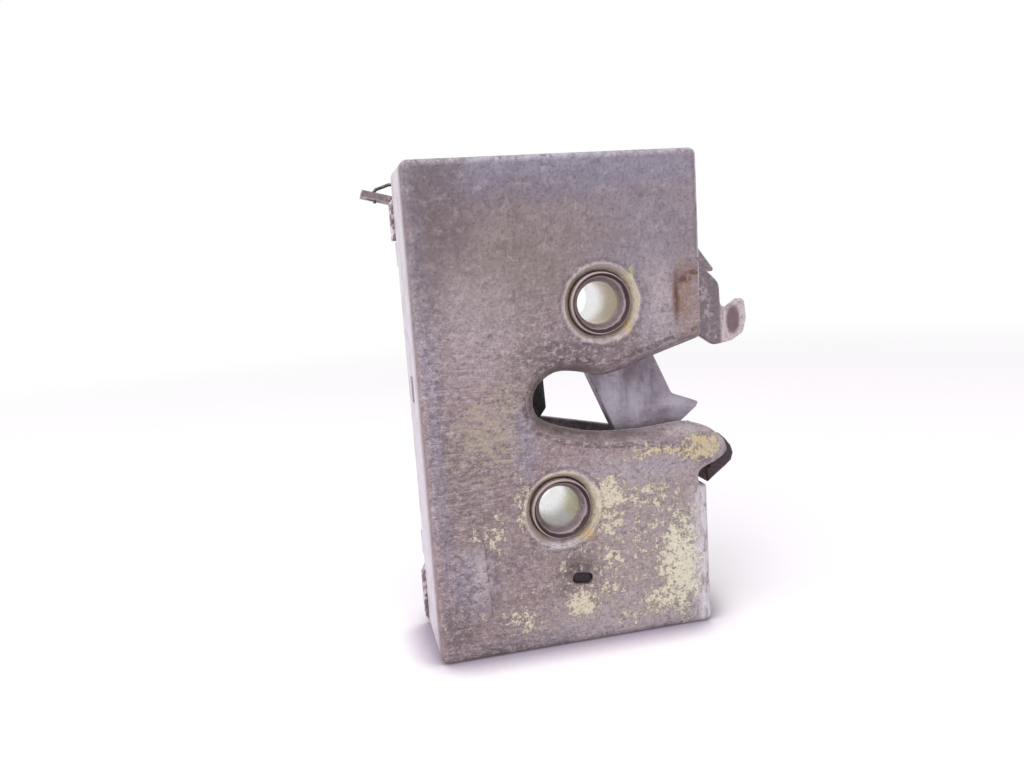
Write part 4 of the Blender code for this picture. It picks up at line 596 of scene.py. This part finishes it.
def finish_plate(colours):
    """Back plate sheet, blanked and drawn: mottled grey-violet, dark where it is drawn into the nose and
    rusty inside the notch."""
    made, tree, shader, face = new_finish("dark_plate_zinc")
    across, depth, up = add(tree, "ShaderNodeSeparateXYZ", {0: face}).outputs
    grain = specks(tree, face, 0.7, 0.48, 0.62, 1.0, (1, 1, 1), 5.0, 0.75)
    drawn_in = share(tree, (across, 59.0, 60.0), (depth, 15.0, 10.0))
    inside = share(tree, (across, 62.4, 61.6), (across, 59.0, 60.0), (up, 34.0, 32.6))
    ground = layered(
        tree, colours.plate,
        (colours.plate_cloud, specks(tree, face, 8.0, 0.46, 0.58, 0.8, (1, 1, 1), 6.0, 0.7)),
        (colours.plate_film, specks(tree, face, 2.6, 0.56, 0.64, 0.5, (1, 1, 1), 6.0, 0.75), (depth, 21.5, 22.0)),
        (colours.lever_rubbed_and_lit, specks(tree, face, 0.6, 0.55, 0.66, 0.45)),
        (colours.claw_stain, grain, 0.5),
        (colours.nose, drawn_in, 0.95),
        (colours.plate_rust, inside, specks(tree, face, 1.2, 0.40, 0.58, 0.9)),
        (colours.lever_rubbed_and_lit, (across, 0.4, -0.2), specks(tree, face, 1.0, 0.46, 0.56, 0.8)))
    coat(tree, shader, ground, grain, (0.44, 0.60), 0.45)
    relief(tree, shader, (grain, -0.03), (specks(tree, face, 3.0, 0.3, 0.7), 0.14))
    return made


def finish_turned_zinc(colours):
    """Turned steel rivets and sleeves, zinc plated: fairly bright, with fine turning lines and dirt."""
    made, tree, shader, face = new_finish("turned_rivet_zinc")
    grain = specks(tree, face, 0.5, 0.50, 0.64, 1.0, (1, 1, 1), 5.0, 0.7)
    ground = layered(
        tree, colours.turned,
        (colours.turned_film, specks(tree, face, 3.0, 0.48, 0.62, 0.7)),
        (colours.claw_stain, grain, 0.5))
    coat(tree, shader, ground, grain, (0.28, 0.46), 0.85)
    relief(tree, shader, (grain, -0.015), (specks(tree, face, 0.4, 0.4, 0.6, 1.0, (0.05, 1, 0.05)), 0.01))
    return made


def finish_wire(colours):
    """Drawn spring wire, phosphated nearly black, with brown dust in streaks along it."""
    made, tree, shader, face = new_finish("phosphated_spring_wire")
    grain = specks(tree, face, 0.7, 0.44, 0.60)
    coat(tree, shader, layered(tree, colours.wire, (colours.wire_dust, grain, 0.8)), grain, (0.34, 0.52), 0.7)
    relief(tree, shader, (grain, 0.02))
    return made


def finish_dark_steel(colours):
    """Blackened steel post, its flat end dull with grease and rubbed at the rim."""
    made, tree, shader, face = new_finish("blackened_post_steel")
    grain = specks(tree, face, 0.5, 0.44, 0.62)
    coat(tree, shader, layered(tree, colours.post, (colours.post_worn, grain, 0.6)), grain, (0.40, 0.60), 0.5)
    relief(tree, shader, (grain, 0.025))
    return made


def finish_rubber(colours):
    """Moulded rubber buffer: near black and matt, with a greyish bloom in clouds."""
    made, tree, shader, face = new_finish("moulded_buffer_rubber")
    grain = specks(tree, face, 0.5, 0.44, 0.62)
    ground = layered(
        tree, colours.rubber,
        (colours.rubber_bloom, specks(tree, face, 3.0, 0.46, 0.62)),
        (colours.rubber_dirt, grain, 0.4))
    coat(tree, shader, ground, grain, (0.55, 0.75), 0.0)
    shader.inputs["Specular IOR Level"].default_value = 0.35
    relief(tree, shader, (grain, 0.025))
    return made


def finish_nylon(colours):
    """Natural moulded nylon clip, milky and slightly yellowed, with a satin skin and dirt in its corners."""
    made, tree, shader, face = new_finish("natural_nylon_clip")
    grain = specks(tree, face, 0.4, 0.46, 0.62)
    ground = layered(
        tree, colours.nylon,
        (colours.nylon_aged, specks(tree, face, 2.4, 0.46, 0.62)),
        (colours.nylon_dirt, grain, 0.3))
    coat(tree, shader, ground, grain, (0.38, 0.50), 0.0)
    shader.inputs["Subsurface Weight"].default_value = 0.15
    shader.inputs["Subsurface Radius"].default_value = (0.6 * MM, 0.5 * MM, 0.35 * MM)
    relief(tree, shader, (grain, 0.01))
    return made


def dress(name, material):
    """Gives a CAD node its finish and welds it for smooth light across its rounds."""
    node = NODES[name]
    node.data.materials.clear()
    node.data.materials.append(material)
    for face in node.data.polygons:
        face.use_smooth = True
    weld = node.modifiers.new("weld", "WELD")
    weld.merge_threshold = WELD_GAP
    split = node.modifiers.new("split", "EDGE_SPLIT")
    split.split_angle = FOLD_ANGLE
    split.use_edge_sharp = False
    even = node.modifiers.new("even", "WEIGHTED_NORMAL")
    even.keep_sharp = False
    even.weight = 80


class LATCH_OT_sheet(bpy.types.Operator):
    """Finish the housing in worn zinc sheet"""
    bl_idname = "latch.sheet"
    bl_label = "Housing sheet"

    def execute(self, context):
        dress("housing", finish_worn_zinc(context.scene.latch_sheet))
        return {"FINISHED"}


class LATCH_OT_plate(bpy.types.Operator):
    """Finish the back plate"""
    bl_idname = "latch.plate"
    bl_label = "Back plate"

    def execute(self, context):
        dress("back_plate", finish_plate(context.scene.latch_steel))
        return {"FINISHED"}


class LATCH_OT_bushes(bpy.types.Operator):
    """Turn both bushes, countersunk at the front"""
    bl_idname = "latch.bushes"
    bl_label = "Bushes"

    def execute(self, context):
        made = finish_bush(context.scene.latch_steel)
        for name, (across, up) in (("upper_bush", UPPER), ("lower_bush", LOWER)):
            bush = self.turn(name + "_turned", across, up)
            bush.data.materials.append(made)
            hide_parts(name)
            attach(bush, "frame")
        return {"FINISHED"}

    def turn(self, name, across, up):
        """Extrudes a ring along the bush's profile: head, journal, shoulder, spigot, countersink, bore."""
        axis = Vector((FACE_CORNER[0] + across * MM, FACE_CORNER[1], up * MM))
        bpy.ops.object.select_all(action="DESELECT")
        radius, depth = BUSH_PROFILE[0]
        bpy.ops.mesh.primitive_circle_add(vertices=BUSH_SIDES, radius=radius * MM, rotation=(math.radians(90), 0, 0),
                                          location=axis + Vector((0, depth * MM, 0)))
        bush = bpy.context.object
        bush.name = name
        bpy.ops.object.transform_apply(location=True, rotation=True, scale=True)
        bpy.ops.object.mode_set(mode="EDIT")
        bpy.ops.mesh.select_all(action="SELECT")
        for next_radius, next_depth in BUSH_PROFILE[1:] + BUSH_PROFILE[:1]:
            bpy.ops.mesh.extrude_region_move()
            wider = next_radius / radius
            bpy.ops.transform.resize(value=(wider, 1, wider), center_override=axis)
            bpy.ops.transform.translate(value=(0, (next_depth - depth) * MM, 0))
            radius, depth = next_radius, next_depth
        bpy.ops.mesh.select_all(action="SELECT")
        bpy.ops.mesh.remove_doubles(threshold=0.02 * MM)
        bpy.ops.mesh.normals_make_consistent(inside=False)
        bpy.ops.object.mode_set(mode="OBJECT")
        rounds = bush.modifiers.new("rounds", "BEVEL")
        rounds.width = BUSH_ROUNDING
        rounds.segments = 2
        rounds.limit_method = "ANGLE"
        bpy.ops.object.modifier_apply(modifier="rounds")
        bpy.ops.object.shade_smooth_by_angle(angle=math.radians(25))
        return bush


class LATCH_OT_claw(bpy.types.Operator):
    """Finish the claw and the pawl"""
    bl_idname = "latch.claw"
    bl_label = "Claw and pawl"

    def execute(self, context):
        made = finish_claw_steel(context.scene.latch_steel)
        for name in ("claw", "pawl"):
            dress(name, made)
        return {"FINISHED"}


class LATCH_OT_levers(bpy.types.Operator):
    """Finish the levers and the lock slide"""
    bl_idname = "latch.levers"
    bl_label = "Levers"

    def execute(self, context):
        made = finish_lever(context.scene.latch_steel)
        for name in ("outside_release_lever", "inside_release_lever", "lock_lever", "lock_slide"):
            dress(name, made)
        return {"FINISHED"}


class LATCH_OT_rivets(bpy.types.Operator):
    """Finish the rivets, the pin, the sleeves and the washer"""
    bl_idname = "latch.rivets"
    bl_label = "Rivets and sleeves"

    def execute(self, context):
        made = finish_turned_zinc(context.scene.latch_steel)
        for name in ("pawl_pin", "claw_spacer", "pawl_spacer", "lever_washer", "inside_lever_rivet",
                     "lock_lever_rivet", "slide_guide_rivet", "slide_spacer"):
            dress(name, made)
        return {"FINISHED"}


class LATCH_OT_springs(bpy.types.Operator):
    """Finish the wire springs"""
    bl_idname = "latch.springs"
    bl_label = "Springs"

    def execute(self, context):
        made = finish_wire(context.scene.latch_small)
        for name in ("claw_spring", "pawl_spring", "inside_lever_spring", "lock_spring"):
            dress(name, made)
        return {"FINISHED"}


class LATCH_OT_stops(bpy.types.Operator):
    """Finish the stop post, the rubber buffer and the nylon clip"""
    bl_idname = "latch.stops"
    bl_label = "Post, buffer and clip"

    def execute(self, context):
        colours = context.scene.latch_small
        dress("stop_post", finish_dark_steel(colours))
        dress("slot_buffer", finish_rubber(colours))
        dress("inside_rod_clip", finish_nylon(colours))
        return {"FINISHED"}


class LATCH_OT_stage(bpy.types.Operator):
    """Set the pale floor, the soft lamps, the room and the camera"""
    bl_idname = "latch.stage"
    bl_label = "Stage"

    def execute(self, context):
        sizes = context.scene.latch_stage
        self.lay_floor(context, sizes)
        self.light_room(context, sizes)
        for name, spot, power, size in (("key_left", KEY_PLACE, sizes.key, 0.9),
                                        ("top_front", TOP_PLACE, sizes.top, 0.6)):
            bpy.ops.object.light_add(type="AREA", location=spot)
            lamp = context.object
            lamp.name = name
            lamp.data.energy = power
            lamp.data.size = size
            aim = Vector(LAMP_AIM) - Vector(spot)
            lamp.rotation_euler = aim.to_track_quat("-Z", "Y").to_euler()
        self.set_camera(context, sizes)
        context.scene.view_settings.view_transform = "Standard"
        return {"FINISHED"}

    def lay_floor(self, context, sizes):
        """A pale floor that shows the latch's shadow and fades to white away from it."""
        bpy.ops.object.select_all(action="DESELECT")
        bpy.ops.mesh.primitive_plane_add(size=sizes.floor_size, location=(0, 0, 0))
        floor = context.object
        floor.name = "floor"
        made = bpy.data.materials.new("white_floor_paint")
        made.use_nodes = True
        tree = made.node_tree
        tree.nodes.clear()
        place = add(tree, "ShaderNodeTexCoord")
        far = add(tree, "ShaderNodeVectorMath", {0: place.outputs["Object"]}, operation="LENGTH")
        grit = specks(tree, place.outputs["Object"], 0.002, 0.3, 0.7, 0.03)
        tone = layered(tree, sizes.bounce, (sizes.bounce_dark, grit))
        flat = add(tree, "ShaderNodeBsdfDiffuse", {"Color": tone})

        # The camera sees a grey contact shadow and, away from the latch, plain white
        closed = add(tree, "ShaderNodeAmbientOcclusion", {"Distance": 0.011}, samples=8)
        contact = share(tree, (closed.outputs["AO"], 0.98, 0.50, 0.9))
        shaded = add(tree, "ShaderNodeBsdfDiffuse", {"Color": layered(tree, sizes.floor, (sizes.contact, contact))})
        glow = add(tree, "ShaderNodeEmission", {"Color": (1, 1, 1, 1), "Strength": 0.07})
        lit = add(tree, "ShaderNodeAddShader", {0: shaded.outputs[0], 1: glow.outputs[0]})
        white = add(tree, "ShaderNodeEmission", {"Color": (1, 1, 1, 1), "Strength": 1.0})
        fade = share(tree, (far.outputs["Value"], sizes.fade_start, sizes.fade_end))
        faded = add(tree, "ShaderNodeMixShader", {0: fade, 1: lit.outputs[0], 2: white.outputs[0]})
        pick = add(tree, "ShaderNodeMixShader", {0: shown_rays(tree), 1: flat.outputs[0], 2: faded.outputs[0]})
        add(tree, "ShaderNodeOutputMaterial", {"Surface": pick.outputs[0]})
        floor.data.materials.append(made)

    def light_room(self, context, sizes):
        """Even light from all round, shown white."""
        world = bpy.data.worlds.new("soft_room")
        context.scene.world = world
        world.use_nodes = True
        tree = world.node_tree
        tree.nodes.clear()
        room = add(tree, "ShaderNodeBackground", {"Color": (1, 1, 1, 1), "Strength": sizes.room})
        shown = add(tree, "ShaderNodeBackground", {"Color": (1, 1, 1, 1), "Strength": 1.0})
        pick = add(tree, "ShaderNodeMixShader", {0: shown_rays(tree), 1: room.outputs[0], 2: shown.outputs[0]})
        add(tree, "ShaderNodeOutputWorld", {"Surface": pick.outputs[0]})

    def set_camera(self, context, sizes):
        """The photograph's viewpoint: a little left of the face and above the slot, looking slightly down."""
        bpy.ops.object.camera_add()
        camera = context.object
        camera.name = "photo_camera"
        camera.data.sensor_width = 36
        camera.data.lens = sizes.lens
        camera.data.clip_start = 0.005
        camera.data.clip_end = 20
        back = -Vector(CAMERA_AIM).normalized()
        side = Vector(CAMERA_UP).cross(back).normalized()
        turn = Matrix((side, back.cross(side), back)).transposed().to_4x4()
        camera.matrix_world = Matrix.Translation(CAMERA_PLACE) @ turn
        context.scene.camera = camera


class LATCH_PT_panel(bpy.types.Panel):
    """Steps that dress the latch, and their colours"""
    bl_label = "Car door latch"
    bl_idname = "LATCH_PT_panel"
    bl_space_type = "VIEW_3D"
    bl_region_type = "UI"
    bl_category = "Latch"

    def draw(self, context):
        column = self.layout.column()
        for step in STEPS:
            column.operator(step.bl_idname)
        for group in [getattr(context.scene, name) for name in GROUPS]:
            for name in group.bl_rna.properties.keys()[2:]:
                column.prop(group, name)


GROUPS = {"latch_sheet": LATCH_PG_sheet, "latch_steel": LATCH_PG_steel, "latch_small": LATCH_PG_small,
          "latch_stage": LATCH_PG_stage}
STEPS = (LATCH_OT_sheet, LATCH_OT_plate, LATCH_OT_bushes, LATCH_OT_claw, LATCH_OT_levers, LATCH_OT_rivets,
         LATCH_OT_springs, LATCH_OT_stops, LATCH_OT_stage)
CLASSES = (*GROUPS.values(), *STEPS, LATCH_PT_panel)


def register():
    for made in CLASSES:
        bpy.utils.register_class(made)
    for name, group in GROUPS.items():
        setattr(bpy.types.Scene, name, bpy.props.PointerProperty(type=group))


def unregister():
    for name in GROUPS:
        delattr(bpy.types.Scene, name)
    for made in reversed(CLASSES):
        bpy.utils.unregister_class(made)


def main():
    register()
    bpy.ops.latch.sheet()
    bpy.ops.latch.plate()
    bpy.ops.latch.bushes()
    bpy.ops.latch.claw()
    bpy.ops.latch.levers()
    bpy.ops.latch.rivets()
    bpy.ops.latch.springs()
    bpy.ops.latch.stops()
    bpy.ops.latch.stage()


if __name__ == "__main__":
    main()
